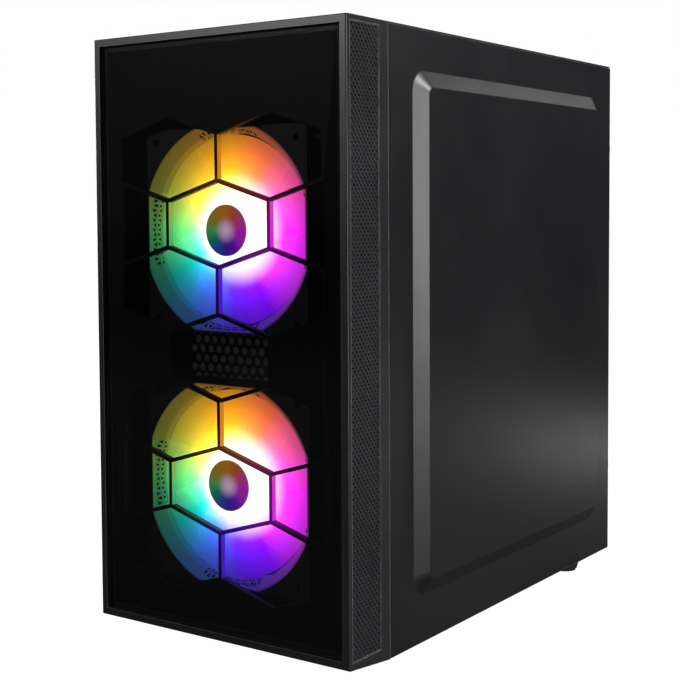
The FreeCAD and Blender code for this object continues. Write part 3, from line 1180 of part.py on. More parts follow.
def all_nodes():
    """Every node of the tower with its solids."""
    nodes = {
        "base_pan": [base_pan()], "rear_plate": [rear_plate()], "top_plate": [top_plate()],
        "front_plate": [front_plate()], "motherboard_tray": [motherboard_tray()],
        "psu_shroud": [psu_shroud()], "feet": feet(), "expansion_brackets": expansion_brackets(),
        "drive_cage": [drive_cage()], "hard_drive": [hard_drive()],
        "solid_state_drive": [solid_state_drive()], "io_shield": [io_shield()],
        "mainboard": [mainboard()], "board_sockets": board_sockets(),
        "memory_modules": memory_modules(), "board_heatsinks": board_heatsinks(),
        "heat_pipes": [heat_pipes()], "rear_port_block": rear_port_block(),
        "fasteners": fasteners(), "psu_housing": [psu_housing()], "power_inlet": [power_inlet()],
        "rocker_switch": [rocker_switch()], "graphics_board": [graphics_board()],
        "graphics_heatsink": [graphics_heatsink()], "graphics_shroud": [graphics_shroud()],
        "graphics_rotor": [graphics_rotor()], "front_bezel": [front_bezel()],
        "intake_meshes": intake_meshes(), "honeycomb_grille": [honeycomb_grille()],
        "front_glass": [front_glass()],
        "power_button": [push_button(BUTTON_X, BUTTON_RADIUS, 2.5)],
        "reset_button": [push_button(RESET_X, RESET_RADIUS, 1.5)],
        "front_port_module": [front_port_module()], "right_side_panel": [right_side_panel()],
        "left_glass_panel": [left_glass_panel()], "glass_washers": glass_washers(),
        "top_filter": [top_filter()], "psu_filter": [psu_filter()],
        "internal_cables": internal_cables(),
    }
    nodes.update(fan_nodes())
    nodes.update(thumbscrew_nodes())
    return nodes


def write(nodes):
    """Move each node to the footprint's middle and write it as STEP."""
    for name, solids in nodes.items():
        shape = solids[0] if len(solids) == 1 else Part.makeCompound(solids)
        shape.translate(-ORIGIN)
        if not shape.isValid():
            print("INVALID", name)
        if len(shape.Solids) != len(solids):
            print("SOLIDS", name, len(shape.Solids), len(solids))
        shape.exportStep("parts/" + name + ".step")


write(all_nodes())
print("origin of the parts in the design frame:", ORIGIN)
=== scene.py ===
"""Looks of the desktop computer tower: finishes, fine mesh, wiring, board detail, fan glow and studio.

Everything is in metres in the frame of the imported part: +X is the right-hand side seen from the
front, +Y runs to the rear and +Z is up, with the origin under the middle of the tower.
"""
import logging
import math
import random
from dataclasses import dataclass
from enum import Enum

import bpy
from mathutils import Matrix, Vector


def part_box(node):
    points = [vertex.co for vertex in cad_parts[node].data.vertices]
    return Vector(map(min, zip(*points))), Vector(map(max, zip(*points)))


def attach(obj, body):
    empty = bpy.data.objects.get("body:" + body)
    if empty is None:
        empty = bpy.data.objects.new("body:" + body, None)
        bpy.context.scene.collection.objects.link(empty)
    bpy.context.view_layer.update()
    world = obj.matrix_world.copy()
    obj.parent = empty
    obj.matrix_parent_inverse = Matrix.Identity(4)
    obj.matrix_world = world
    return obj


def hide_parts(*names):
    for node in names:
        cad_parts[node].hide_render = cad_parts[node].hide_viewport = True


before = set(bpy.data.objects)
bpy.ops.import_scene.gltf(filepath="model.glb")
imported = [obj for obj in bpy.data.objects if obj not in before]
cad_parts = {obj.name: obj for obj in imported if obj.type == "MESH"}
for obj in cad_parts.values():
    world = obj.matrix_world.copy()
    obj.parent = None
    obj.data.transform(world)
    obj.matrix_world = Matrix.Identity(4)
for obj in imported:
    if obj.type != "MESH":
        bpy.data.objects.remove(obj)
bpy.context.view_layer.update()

LOG = logging.getLogger("tower")
MM = 0.001
DUST_GREY = (0.34, 0.33, 0.31)
Colour = tuple[float, float, float]
Point = tuple[float, float, float]
Socket = bpy.types.NodeSocket
Piece = bpy.types.Object


# ------------------------------------------------------------------ node wiring
def rgba(colour: Colour) -> tuple[float, float, float, float]:
    """Colour with full opacity, as node sockets take it."""
    return (*colour, 1.0)


class Wiring:
    """Adds nodes to one node tree and links them."""

    def __init__(self, tree: bpy.types.NodeTree) -> None:
        """Keeps the tree that the nodes go into."""
        self.tree = tree

    def put(self, kind: str, inputs: dict | None = None, **settings: object) -> bpy.types.Node:
        """Adds a node.

        Args:
            kind: Blender's name of the node type.
            inputs: value or linked socket of each input, by name or index.
            settings: properties of the node itself.

        Returns:
            The new node.
        """
        node = self.tree.nodes.new(kind)
        for name, value in settings.items():
            setattr(node, name, value)
        for key, value in (inputs or {}).items():
            if isinstance(value, bpy.types.NodeSocket):
                self.tree.links.new(value, node.inputs[key])
            else:
                node.inputs[key].default_value = value
        return node

    def calc(self, operation: str, *values: float | Socket, clamp: bool = False) -> Socket:
        """Output of a Math node.

        Args:
            operation: the Math node's operation.
            values: one to three numbers or sockets.
            clamp: whether the result stays between 0 and 1.

        Returns:
            The result socket.
        """
        node = self.put("ShaderNodeMath", dict(enumerate(values)), operation=operation, use_clamp=clamp)
        return node.outputs[0]

    def mix(self, share: float | Socket, first: object, second: object) -> Socket:
        """Mix of two colours by a share."""
        return self.put("ShaderNodeMix", {0: share, 6: first, 7: second}, data_type="RGBA").outputs[2]

    def smooth(self, value: Socket, low: float, high: float) -> Socket:
        """Smooth step from 0 at low to 1 at high."""
        inputs = {"Value": value, "From Min": low, "From Max": high}
        return self.put("ShaderNodeMapRange", inputs, interpolation_type="SMOOTHSTEP").outputs[0]

    def vector(self, operation: str, first: object, second: object) -> bpy.types.NodeOutputs:
        """Outputs of a Vector Math node with two inputs."""
        return self.put("ShaderNodeVectorMath", {0: first, 1: second}, operation=operation).outputs

    def scaled(self, vector: Socket, factor: Socket) -> Socket:
        """Vector or colour times a number."""
        return self.put("ShaderNodeVectorMath", {0: vector, "Scale": factor}, operation="SCALE").outputs[0]

    def bump(self, height: Socket, strength: float, distance: float, normal: Socket | None = None) -> Socket:
        """Normal bent by a height.

        Args:
            height: the surface's height.
            strength: how much of the bump shows.
            distance: how tall a height of 1 is.
            normal: the normal that is bent, the surface's own by default.

        Returns:
            The bent normal.
        """
        inputs = {"Height": height, "Strength": strength, "Distance": distance}
        if normal:
            inputs["Normal"] = normal
        return self.put("ShaderNodeBump", inputs).outputs[0]

    def join(self, node: bpy.types.Node, sockets: dict[str, Socket]) -> None:
        """Links a socket to each named input of a node."""
        for name, socket in sockets.items():
            self.tree.links.new(socket, node.inputs[name])

    def noise(self, scale: float | Socket, detail: float = 2.0, vector: Socket | None = None) -> Socket:
        """Noise value over the surface.

        Args:
            scale: features per metre.
            detail: octaves of finer noise.
            vector: place that the noise is read at, the object's own by default.

        Returns:
            The noise value, about 0.5 on average.
        """
        place = vector or self.put("ShaderNodeTexCoord").outputs["Object"]
        inputs = {"Vector": place, "Scale": scale, "Detail": detail}
        return self.put("ShaderNodeTexNoise", inputs).outputs["Fac"]


class Effect(Enum):
    """Surface effects that more than one material uses."""

    EDGE_WEAR_AND_HIGHLIGHT = "edge_wear_and_highlight"
    GRAIN = "grain"
    DUST = "dust"
    BRUSHED = "brushed"
    FAN_LIGHT = "fan_light"


@dataclass(frozen=True)
class LightWheel:
    """Colours of a lit fan round its hub, from the left side anticlockwise seen from behind."""

    # share of the turn, from the left (-X) by the bottom to the right and the top
    stops: tuple[tuple[float, Colour], ...] = (
        (0.000, (0.12, 0.66, 0.15)),
        (0.085, (0.00, 0.34, 0.26)),
        (0.165, (0.03, 0.12, 0.62)),
        (0.250, (0.08, 0.01, 0.70)),
        (0.335, (0.18, 0.00, 0.88)),
        (0.415, (0.72, 0.03, 1.00)),
        (0.500, (0.97, 0.02, 0.98)),
        (0.585, (0.92, 0.09, 0.36)),
        (0.665, (0.91, 0.15, 0.05)),
        (0.750, (0.85, 0.30, 0.01)),
        (0.835, (0.68, 0.34, 0.01)),
        (0.920, (0.45, 0.42, 0.03)),
        (1.000, (0.12, 0.66, 0.15)),
    )
    even: float = 48 * MM        # distance from the hub at which the level is 1
    white_start: float = 35 * MM
    white_full: float = 18 * MM
    white_level: float = 1.3
    white_shift: float = 4 * MM  # the hot spot leans to the right
    top_level: float = 6.0


class EffectLibrary:
    """Builds each effect's node group once and places it in materials."""

    def __init__(self) -> None:
        """Starts with no group built."""
        self.groups: dict[Effect, bpy.types.NodeTree] = {}

    def place(self, wiring: Wiring, effect: Effect, **inputs: float | Point) -> bpy.types.Node:
        """Puts an effect's group into a material.

        Args:
            wiring: the material's wiring.
            effect: which effect.
            inputs: the group's input values, by name.

        Returns:
            The group node.
        """
        if effect not in self.groups:
            builders = {Effect.EDGE_WEAR_AND_HIGHLIGHT: self._rubbed_edges_and_highlights, Effect.GRAIN: self._grain,
                        Effect.DUST: self._dust, Effect.BRUSHED: self._brushed,
                        Effect.FAN_LIGHT: self._fan_light}
            self.groups[effect] = builders[effect]()
        return wiring.put("ShaderNodeGroup", inputs, node_tree=self.groups[effect])

    @staticmethod
    def _open(name: str, inputs: dict, outputs: dict) -> tuple[Wiring, bpy.types.Node, bpy.types.Node]:
        """New group with its sockets.

        Args:
            name: the group's name.
            inputs: default value of each input, a number or three numbers.
            outputs: socket type of each output.

        Returns:
            The group's wiring, its input node and its output node.
        """
        tree = bpy.data.node_groups.new(name, "ShaderNodeTree")
        for label, default in inputs.items():
            kind = "NodeSocketVector" if isinstance(default, tuple) else "NodeSocketFloat"
            socket = tree.interface.new_socket(label, in_out="INPUT", socket_type=kind)
            socket.default_value = default
        for label, kind in outputs.items():
            tree.interface.new_socket(label, in_out="OUTPUT", socket_type=kind)
        wiring = Wiring(tree)
        return wiring, wiring.put("NodeGroupInput"), wiring.put("NodeGroupOutput")

    def _rubbed_edges_and_highlights(self) -> bpy.types.NodeTree:
        """Mask of rubbed edges, also used for painted edge highlights: where a rounded normal leaves the true
        one, broken by noise.

        Returns:
            The group's tree.
        """
        w, given, out = self._open("edge_wear_and_highlight", {"Radius": 0.6 * MM, "Break": 160.0},
                                   {"Mask": "NodeSocketFloat"})
        bevel = w.put("ShaderNodeBevel", {"Radius": given.outputs["Radius"]}, samples=4)
        geometry = w.put("ShaderNodeNewGeometry")
        facing = w.vector("DOT_PRODUCT", bevel.outputs[0], geometry.outputs["Normal"])["Value"]
        edge = w.smooth(w.calc("SUBTRACT", 1.0, facing), 0.01, 0.16)
        patch = w.smooth(w.noise(given.outputs["Break"], 3.0), 0.25, 0.6)
        broken = w.calc("MULTIPLY_ADD", patch, 0.6, 0.4)
        w.join(out, {"Mask": w.calc("MULTIPLY", edge, broken)})
        return w.tree

    def _grain(self) -> bpy.types.NodeTree:
        """Fine height of a coat or moulding, and a slow drift of its tone.

        Returns:
            The group's tree.
        """
        w, given, out = self._open("grain", {"Scale": 1500.0, "Drift": 14.0},
                                   {"Height": "NodeSocketFloat", "Tone": "NodeSocketFloat"})
        w.join(out, {"Height": w.noise(given.outputs["Scale"], 2.0),
                     "Tone": w.smooth(w.noise(given.outputs["Drift"], 4.0), 0.3, 0.7)})
        return w.tree

    def _dust(self) -> bpy.types.NodeTree:
        """Mask of settled dust on what faces up.

        Returns:
            The group's tree.
        """
        w, given, out = self._open("dust", {"Amount": 0.2}, {"Mask": "NodeSocketFloat"})
        normal = w.put("ShaderNodeNewGeometry").outputs["Normal"]
        up = w.put("ShaderNodeSeparateXYZ", {0: normal}).outputs["Z"]
        speckle = w.smooth(w.noise(900.0, 3.0), 0.45, 0.75)
        cloud = w.smooth(w.noise(25.0, 3.0), 0.3, 0.8)
        settled = w.calc("MULTIPLY", w.calc("POWER", w.calc("MAXIMUM", up, 0.0), 3.0), cloud)
        mask = w.calc("MULTIPLY", w.calc("MULTIPLY", settled, speckle), given.outputs["Amount"])
        w.join(out, {"Mask": mask})
        return w.tree

    def _brushed(self) -> bpy.types.NodeTree:
        """Long fine scratches along one axis, as height and tone.

        Returns:
            The group's tree.
        """
        w, given, out = self._open("brushed", {"Stretch": (900.0, 900.0, 12.0)},
                                   {"Height": "NodeSocketFloat", "Tone": "NodeSocketFloat"})
        place = w.put("ShaderNodeTexCoord").outputs["Object"]
        long = w.vector("MULTIPLY", place, given.outputs["Stretch"])[0]
        w.join(out, {"Height": w.noise(1.0, 3.0, long),
                     "Tone": w.smooth(w.noise(0.35, 2.0, long), 0.3, 0.7)})
        return w.tree

    def _fan_light(self) -> bpy.types.NodeTree:
        """Light of a lit fan over the plane across its axis: hue, hot colour and distance from the hub.

        Returns:
            The group's tree.
        """
        wheel = LightWheel()
        w, given, out = self._open("fan_light", {"Centre": (0.0, 0.0, 0.0)},
                                   {"Light": "NodeSocketColor", "Hue": "NodeSocketColor",
                                    "Distance": "NodeSocketFloat"})
        place = w.put("ShaderNodeNewGeometry").outputs["Position"]
        offset = w.vector("SUBTRACT", place, given.outputs["Centre"])[0]
        parts = w.put("ShaderNodeSeparateXYZ", {0: offset})
        side, rise = parts.outputs["X"], parts.outputs["Z"]
        turn = w.calc("MULTIPLY_ADD", w.calc("ARCTAN2", rise, side), 0.5 / math.pi, 0.5)
        wash = w.put("ShaderNodeValToRGB", {0: turn})
        ramp = wash.color_ramp
        for share, _ in wheel.stops[1:-1]:
            ramp.elements.new(share)
        for element, (share, colour) in zip(ramp.elements, wheel.stops):
            element.position, element.color = share, rgba(colour)
        far = self._length(w, side, rise)
        level = w.calc("POWER", w.calc("DIVIDE", wheel.even, w.calc("MAXIMUM", far, MM)), 3.0)
        level = w.calc("MINIMUM", level, wheel.top_level)
        lit = w.scaled(wash.outputs[0], level)
        hot = self._length(w, w.calc("SUBTRACT", side, wheel.white_shift), rise)
        white = w.smooth(hot, wheel.white_start, wheel.white_full)
        light = w.mix(white, lit, rgba((wheel.white_level,) * 3))
        w.join(out, {"Light": light, "Hue": wash.outputs[0], "Distance": far})
        return w.tree

    @staticmethod
    def _length(w: Wiring, side: Socket, rise: Socket) -> Socket:
        """Distance from two offsets."""
        squares = w.calc("ADD", w.calc("MULTIPLY", side, side), w.calc("MULTIPLY", rise, rise))
        return w.calc("SQRT", squares)


EFFECTS = EffectLibrary()


# ---------------------------------------------------------------------- finishes
@dataclass(frozen=True)
class Finish:
    """Opaque surface with drifting tone, grain, rubbed edges and dust; a bright edge colour also paints edge
    highlights.
    """

    name: str
    colour: Colour
    tone: Colour
    roughness: float
    spread: float = 0.08
    metallic: float = 0.0
    grain: float = 1500.0
    depth: float = 0.12
    wear: float = 0.3
    wear_width: float = 0.5 * MM
    wear_and_highlight_colour: Colour = (0.30, 0.31, 0.33)
    dust: float = 0.0
    specular: float = 0.5

    def material(self) -> bpy.types.Material:
        """The finish as a material, made once.

        Returns:
            The material.
        """
        known = bpy.data.materials.get(self.name)
        if known:
            return known
        made = bpy.data.materials.new(self.name)
        made.use_nodes = True
        made.node_tree.nodes.clear()
        wiring = Wiring(made.node_tree)
        shader = wiring.put("ShaderNodeBsdfPrincipled")
        wiring.put("ShaderNodeOutputMaterial", {"Surface": shader.outputs[0]})
        shader.inputs["Metallic"].default_value = self.metallic
        shader.inputs["Specular IOR Level"].default_value = self.specular
        self.fill(wiring, shader)
        return made

    def texture(self, w: Wiring) -> tuple[Socket, Socket]:
        """Height and tone of the surface."""
        grain = EFFECTS.place(w, Effect.GRAIN, Scale=self.grain)
        return grain.outputs["Height"], grain.outputs["Tone"]

    def fill(self, w: Wiring, shader: bpy.types.Node) -> None:
        """Links colour, roughness and bump to the shader.

        Args:
            w: the material's wiring.
            shader: its Principled shader.
        """
        height, tone = self.texture(w)
        colour = w.mix(tone, rgba(self.colour), rgba(self.tone))
        rough = w.calc("MULTIPLY_ADD", tone, self.spread, self.roughness - self.spread / 2)
        # rubbed edges: real wear, and where the edge colour is bright a painted edge highlight
        if self.wear > 0:
            edge = EFFECTS.place(w, Effect.EDGE_WEAR_AND_HIGHLIGHT, Radius=self.wear_width)
            share = w.calc("MULTIPLY", edge.outputs["Mask"], self.wear)
            colour = w.mix(share, colour, rgba(self.wear_and_highlight_colour))
            rough = w.calc("MULTIPLY_ADD", share, -0.15, rough, clamp=True)
        if self.dust > 0:
            dust = EFFECTS.place(w, Effect.DUST, Amount=self.dust)
            colour = w.mix(dust.outputs["Mask"], colour, rgba(DUST_GREY))
        w.join(shader, {"Base Color": colour, "Roughness": rough,
                        "Normal": w.bump(height, self.depth, 0.15 * MM)})


@dataclass(frozen=True)
class BrushedFinish(Finish):
    """Metal with long fine scratches."""

    stretch: Point = (900.0, 900.0, 12.0)

    def texture(self, w: Wiring) -> tuple[Socket, Socket]:
        """Height and tone of the scratches."""
        lines = EFFECTS.place(w, Effect.BRUSHED, Stretch=self.stretch)
        return lines.outputs["Height"], lines.outputs["Tone"]


@dataclass(frozen=True)
class BoardFinish(Finish):
    """Circuit board: solder mask over fine copper tracks, with pads where tracks meet."""

    track: Colour = (0.05, 0.15, 0.07)
    pad: Colour = (0.60, 0.47, 0.22)

    def texture(self, w: Wiring) -> tuple[Socket, Socket]:
        """Height and tone of the tracks.

        Args:
            w: the material's wiring.

        Returns:
            The height and the tone.
        """
        place = w.put("ShaderNodeTexCoord").outputs["Object"]
        cells = w.put("ShaderNodeTexVoronoi", {"Vector": place, "Scale": 150.0, "Randomness": 0.7},
                      feature="F2", distance="CHEBYCHEV")
        lines = w.calc("PINGPONG", cells.outputs["Distance"], 0.09)
        track = w.smooth(lines, 0.05, 0.075)
        return track, track

    def fill(self, w: Wiring, shader: bpy.types.Node) -> None:
        """Solder mask with tracks and pads on the shader.

        Args:
            w: the material's wiring.
            shader: its Principled shader.
        """
        track, _ = self.texture(w)
        place = w.put("ShaderNodeTexCoord").outputs["Object"]
        drift = EFFECTS.place(w, Effect.GRAIN, Scale=self.grain).outputs["Tone"]
        base = w.mix(drift, rgba(self.colour), rgba(self.tone))
        lined = w.mix(w.calc("MULTIPLY", track, 0.8), base, rgba(self.track))
        dots = w.put("ShaderNodeTexVoronoi", {"Vector": place, "Scale": 210.0})
        pads = w.calc("SUBTRACT", 1.0, w.smooth(dots.outputs["Distance"], 0.10, 0.14))
        colour = w.mix(pads, lined, rgba(self.pad))
        rough = w.calc("MULTIPLY_ADD", pads, -0.1, self.roughness)
        height = w.calc("ADD", track, pads)
        w.join(shader, {"Base Color": colour, "Roughness": rough,
                        "Normal": w.bump(height, self.depth, 0.05 * MM)})


@dataclass(frozen=True)
class GlassFinish(Finish):
    """Pane that dims what is behind it and mirrors more at a shallow angle."""

    cover: float = 0.4       # share of light that one face holds back, seen straight on
    falloff: float = 5.0     # how sharply the pane closes towards a shallow angle

    def fill(self, w: Wiring, shader: bpy.types.Node) -> None:
        """Dark gloss with see-through alpha and faint smears.

        Args:
            w: the material's wiring.
            shader: its Principled shader.
        """
        height, tone = self.texture(w)
        colour = w.mix(tone, rgba(self.colour), rgba(self.tone))
        rough = w.calc("MULTIPLY_ADD", tone, self.spread, self.roughness)
        flat = w.put("ShaderNodeNewGeometry").outputs["True Normal"]
        facing = w.put("ShaderNodeLayerWeight", {"Blend": 0.5, "Normal": flat}).outputs["Facing"]
        shallow = w.calc("POWER", facing, self.falloff)
        alpha = w.calc("MULTIPLY_ADD", shallow, 1.0 - self.cover, self.cover, clamp=True)
        w.join(shader, {"Base Color": colour, "Roughness": rough, "Alpha": alpha,
                        "Normal": w.bump(height, self.depth, 0.02 * MM, flat)})


class Glow(Enum):
    """Which part of a lit fan a glowing finish is for."""

    BLADE = "blade"
    RING = "ring"
    SWEEP = "sweep"
    # the cap is no lamp: its glow is a painted reflection of the fan's colours and a painted glint
    CAP_PAINTED_REFLECTION = "cap"


@dataclass(frozen=True)
class GlowFinish(Finish):
    """Frosted plastic lit from the hub in a wheel of colours; on the cap the colours are a painted reflection
    round a painted glint.
    """

    centre: Point = (0.0, 0.0, 0.0)
    part: Glow = Glow.BLADE
    strength: float = 1.0
    cap_radius: float = 15 * MM
    # painted glint in the cap's middle, and the dark that dims the fan's hues into a painted reflection at
    # its rim
    cap_painted_glint: Colour = (0.75, 0.46, 0.70)
    cap_painted_reflection_black: Colour = (0.01, 0.01, 0.012)
    blade_alpha: float = 0.22          # what is left of the blurred blades outside the hub
    blade_root: tuple[float, float] = (20.2 * MM, 21.5 * MM)
    # ring_edge and the colour below paint shade on the liner's flare past the ring's edge
    ring_edge: tuple[float, float] = (57 * MM, 58.5 * MM)
    ring_flare_painted_shade: Colour = (0.01, 0.03, 0.005)

    def fill(self, w: Wiring, shader: bpy.types.Node) -> None:
        """Frosted base with the fan's light as emission, which on the cap is a painted reflection and glint.

        Args:
            w: the material's wiring.
            shader: its Principled shader.
        """
        super().fill(w, shader)
        light = EFFECTS.place(w, Effect.FAN_LIGHT, Centre=self.centre)
        glow = light.outputs["Light"]
        if self.part is Glow.BLADE:
            blurred = w.smooth(light.outputs["Distance"], *self.blade_root)
            w.join(shader, {"Alpha": w.calc("MULTIPLY_ADD", blurred, self.blade_alpha - 1.0, 1.0)})
        elif self.part is Glow.CAP_PAINTED_REFLECTION:
            # painted reflection: the fan's hues dimmed towards the cap's rim, with a painted glint in its
            # middle
            rim = w.smooth(light.outputs["Distance"], 0.05 * self.cap_radius, 0.6 * self.cap_radius)
            shade = w.mix(0.46, light.outputs["Hue"], rgba(self.cap_painted_reflection_black))
            glow = w.mix(rim, rgba(self.cap_painted_glint), shade)
        elif self.part is Glow.RING:
            # painted shade: the flare past the ring's edge is darkened
            step = w.smooth(light.outputs["Distance"], *self.ring_edge)
            glow = w.mix(w.calc("MULTIPLY", step, 0.35), glow, rgba(self.ring_flare_painted_shade))
        elif self.part is Glow.SWEEP:
            streak = w.smooth(w.noise(60.0, 2.0), 0.2, 0.8)
            w.join(shader, {"Alpha": w.calc("MULTIPLY_ADD", streak, 0.08, 0.88)})
        w.join(shader, {"Emission Color": glow})
        shader.inputs["Emission Strength"].default_value = self.strength


@dataclass(frozen=True)
class StrutPaintedLightFinish(Finish):
    """Black moulding with the light of the two fans behind it painted on as emission."""

    centres: tuple[Point, ...] = ()
    lean: Point = (12 * MM, 0.0, -6 * MM)    # the painted fan light on the struts leans to the lower right
    reach: float = 52 * MM
    painted_front_glow: float = 0.10
    painted_flank_glow: float = 0.75
    painted_flank_glow_reach: tuple[float, float] = (64 * MM, 46 * MM)
    strength: float = 2.7

    def fill(self, w: Wiring, shader: bpy.types.Node) -> None:
        """Dark base with each fan's hue painted on as emission light, strongest on the flanks that face
        right.

        Args:
            w: the material's wiring.
            shader: its Principled shader.
        """
        super().fill(w, shader)
        # painted light: each fan's hue as emission, on front faces near the fan and on the flanks that face
        # right
        geometry = w.put("ShaderNodeNewGeometry")
        normal = w.put("ShaderNodeSeparateXYZ", {0: geometry.outputs["Normal"]})
        flank = w.smooth(normal.outputs["X"], 0.5, 0.95)
        painted_glows = []
        for centre in self.centres:
            light = EFFECTS.place(w, Effect.FAN_LIGHT, Centre=centre)
            middle = tuple(Vector(centre) + Vector(self.lean))
            away = w.vector("DISTANCE", geometry.outputs["Position"], middle)["Value"]
            front = w.calc("MULTIPLY", w.smooth(away, self.reach, 0.3 * self.reach), self.painted_front_glow)
            beside = w.smooth(light.outputs["Distance"], *self.painted_flank_glow_reach)
            side = w.calc("MULTIPLY", w.calc("MULTIPLY", flank, beside), self.painted_flank_glow)
            painted_glows.append(w.scaled(light.outputs["Hue"], w.calc("ADD", front, side)))
        w.join(shader, {"Emission Color": w.vector("ADD", *painted_glows)[0]})
        shader.inputs["Emission Strength"].default_value = self.strength


PANEL_COAT = Finish("panel_powder_coat", (0.0042, 0.0045, 0.0052), (0.0058, 0.0061, 0.0070), 0.38,
                    spread=0.05, grain=2600.0, depth=0.22, wear=0.6, wear_width=0.5 * MM, dust=0.05)
STEEL_BLACK = Finish("black_sheet_steel", (0.012, 0.012, 0.013), (0.017, 0.017, 0.018), 0.46,
                     grain=2400.0, depth=0.2, wear=0.12, dust=0.15)
# the bright edge colour at a high share is mostly a painted edge highlight: thin light lines on the rim's
# edges
BEZEL = Finish("bezel_moulding", (0.010, 0.010, 0.011), (0.014, 0.014, 0.015), 0.36, spread=0.06,
               grain=1900.0, depth=0.1, wear=0.85, wear_width=0.6 * MM, wear_and_highlight_colour=(0.30, 0.31, 0.33))
ABS_BLACK = Finish("black_moulding", (0.012, 0.012, 0.013), (0.018, 0.018, 0.019), 0.42, grain=1700.0,
                   wear=0.12)
GRILLE_BLACK = Finish("grille_moulding", (0.004, 0.004, 0.004), (0.006, 0.006, 0.006), 0.5, grain=1700.0,
                      wear=0.0, specular=0.25)
FAN_BLACK = Finish("fan_moulding", (0.010, 0.010, 0.011), (0.014, 0.014, 0.015), 0.48, grain=1300.0,
                   wear=0.1, dust=0.2)
RUBBER = Finish("foot_rubber", (0.012, 0.012, 0.012), (0.02, 0.02, 0.02), 0.75, grain=900.0, depth=0.3,
                wear=0.2, wear_and_highlight_colour=(0.09, 0.09, 0.09))
CONNECTOR = Finish("connector_moulding", (0.018, 0.018, 0.02), (0.03, 0.03, 0.032), 0.4, grain=1200.0,
                   wear=0.15)
CHIP = Finish("chip_package", (0.012, 0.012, 0.013), (0.022, 0.022, 0.023), 0.35, grain=2600.0, wear=0.25,
              wear_and_highlight_colour=(0.12, 0.12, 0.13))
CAN = BrushedFinish("capacitor_can", (0.62, 0.63, 0.65), (0.74, 0.75, 0.77), 0.3, metallic=1.0, wear=0.2,
                    stretch=(40.0, 1500.0, 1500.0))
SLEEVE = Finish("cable_sleeve", (0.014, 0.014, 0.015), (0.026, 0.026, 0.028), 0.6, grain=3200.0, depth=0.6,
                wear=0.0)
LEAD_SLEEVE = Finish("fan_lead_sleeve", (0.42, 0.36, 0.38), (0.55, 0.47, 0.50), 0.4, grain=2400.0, wear=0.0)
LEAD_PLUG = Finish("fan_lead_plug", (0.55, 0.07, 0.02), (0.40, 0.05, 0.02), 0.35, wear=0.2)
BOARD = BoardFinish("circuit_board", (0.006, 0.018, 0.011), (0.008, 0.024, 0.014), 0.3, depth=0.3,
                    specular=0.6)
ALUMINIUM = BrushedFinish("drawn_aluminium", (0.72, 0.73, 0.75), (0.80, 0.81, 0.83), 0.32, metallic=1.0,
                          wear=0.25, wear_and_highlight_colour=(0.9, 0.9, 0.92), stretch=(700.0, 14.0, 700.0))
STEEL_BRIGHT = BrushedFinish("plated_steel", (0.55, 0.56, 0.58), (0.68, 0.69, 0.71), 0.3, metallic=1.0,
                             wear=0.3, wear_and_highlight_colour=(0.8, 0.8, 0.82), stretch=(500.0, 500.0, 20.0))
SCREW_STEEL = BrushedFinish("blackened_screw", (0.05, 0.05, 0.055), (0.09, 0.09, 0.095), 0.34, metallic=0.9,
                            wear=0.8, wear_width=0.3 * MM, wear_and_highlight_colour=(0.5, 0.5, 0.52),
                            stretch=(900.0, 60.0, 60.0))
COPPER = BrushedFinish("bare_copper", (0.70, 0.34, 0.20), (0.80, 0.42, 0.27), 0.28, metallic=1.0, wear=0.2,
                       wear_and_highlight_colour=(0.9, 0.6, 0.45), stretch=(14.0, 700.0, 700.0))
# the light edge colour round the holes is painted glints, with some wear
MESH_STEEL = Finish("mesh_steel", (0.016, 0.016, 0.018), (0.024, 0.024, 0.027), 0.38, grain=2200.0,
                    wear=0.5, wear_width=0.2 * MM, wear_and_highlight_colour=(0.14, 0.14, 0.16), metallic=0.3)
FILTER_NET = Finish("filter_net", (0.02, 0.02, 0.021), (0.035, 0.035, 0.037), 0.6, grain=2500.0, wear=0.0,
                    dust=0.4)
TINTED = GlassFinish("tinted_glass", (0.002, 0.002, 0.0025), (0.004, 0.004, 0.0045), 0.03, spread=0.03,
                     depth=0.02, specular=0.3, cover=0.42)
FILTER_BACKING = Finish("filter_backing", (0.006, 0.006, 0.006), (0.010, 0.010, 0.010), 0.8, grain=2600.0,
                      depth=0.5, wear=0.0)
CLEAR = GlassFinish("side_glass", (0.010, 0.012, 0.013), (0.014, 0.016, 0.017), 0.03, spread=0.03,
                    depth=0.02, cover=0.86)

DRESS: dict[Finish, tuple[str, ...]] = {
    PANEL_COAT: ("right_side_panel",),
    STEEL_BLACK: ("base_pan", "rear_plate", "top_plate", "front_plate", "motherboard_tray", "psu_shroud",
                  "drive_cage", "psu_housing"),
    BEZEL: ("front_bezel",),
    ABS_BLACK: ("power_button", "reset_button", "graphics_shroud", "top_filter", "psu_filter"),
    FAN_BLACK: ("cooler_fan_frame", "cooler_rotor", "psu_fan_frame", "psu_rotor", "rear_fan_frame",
                "rear_fan_rotor", "graphics_rotor", "upper_fan_frame", "lower_fan_frame"),
    RUBBER: ("feet", "glass_washers"),
    CONNECTOR: ("board_sockets", "power_inlet", "rocker_switch", "front_port_module"),
    ALUMINIUM: ("hard_drive", "solid_state_drive", "board_heatsinks", "graphics_heatsink"),
    STEEL_BRIGHT: ("expansion_brackets", "io_shield", "rear_port_block", "fasteners"),
    SCREW_STEEL: ("panel_thumbscrew_upper", "panel_thumbscrew_lower", "glass_thumbscrew_front_lower",
                  "glass_thumbscrew_front_upper", "glass_thumbscrew_rear_lower",
                  "glass_thumbscrew_rear_upper"),
    COPPER: ("heat_pipes", "fan_motors"),
    BOARD: ("mainboard", "graphics_board", "memory_modules"),
    TINTED: ("front_glass",),
    CLEAR: ("left_glass_panel",),
}


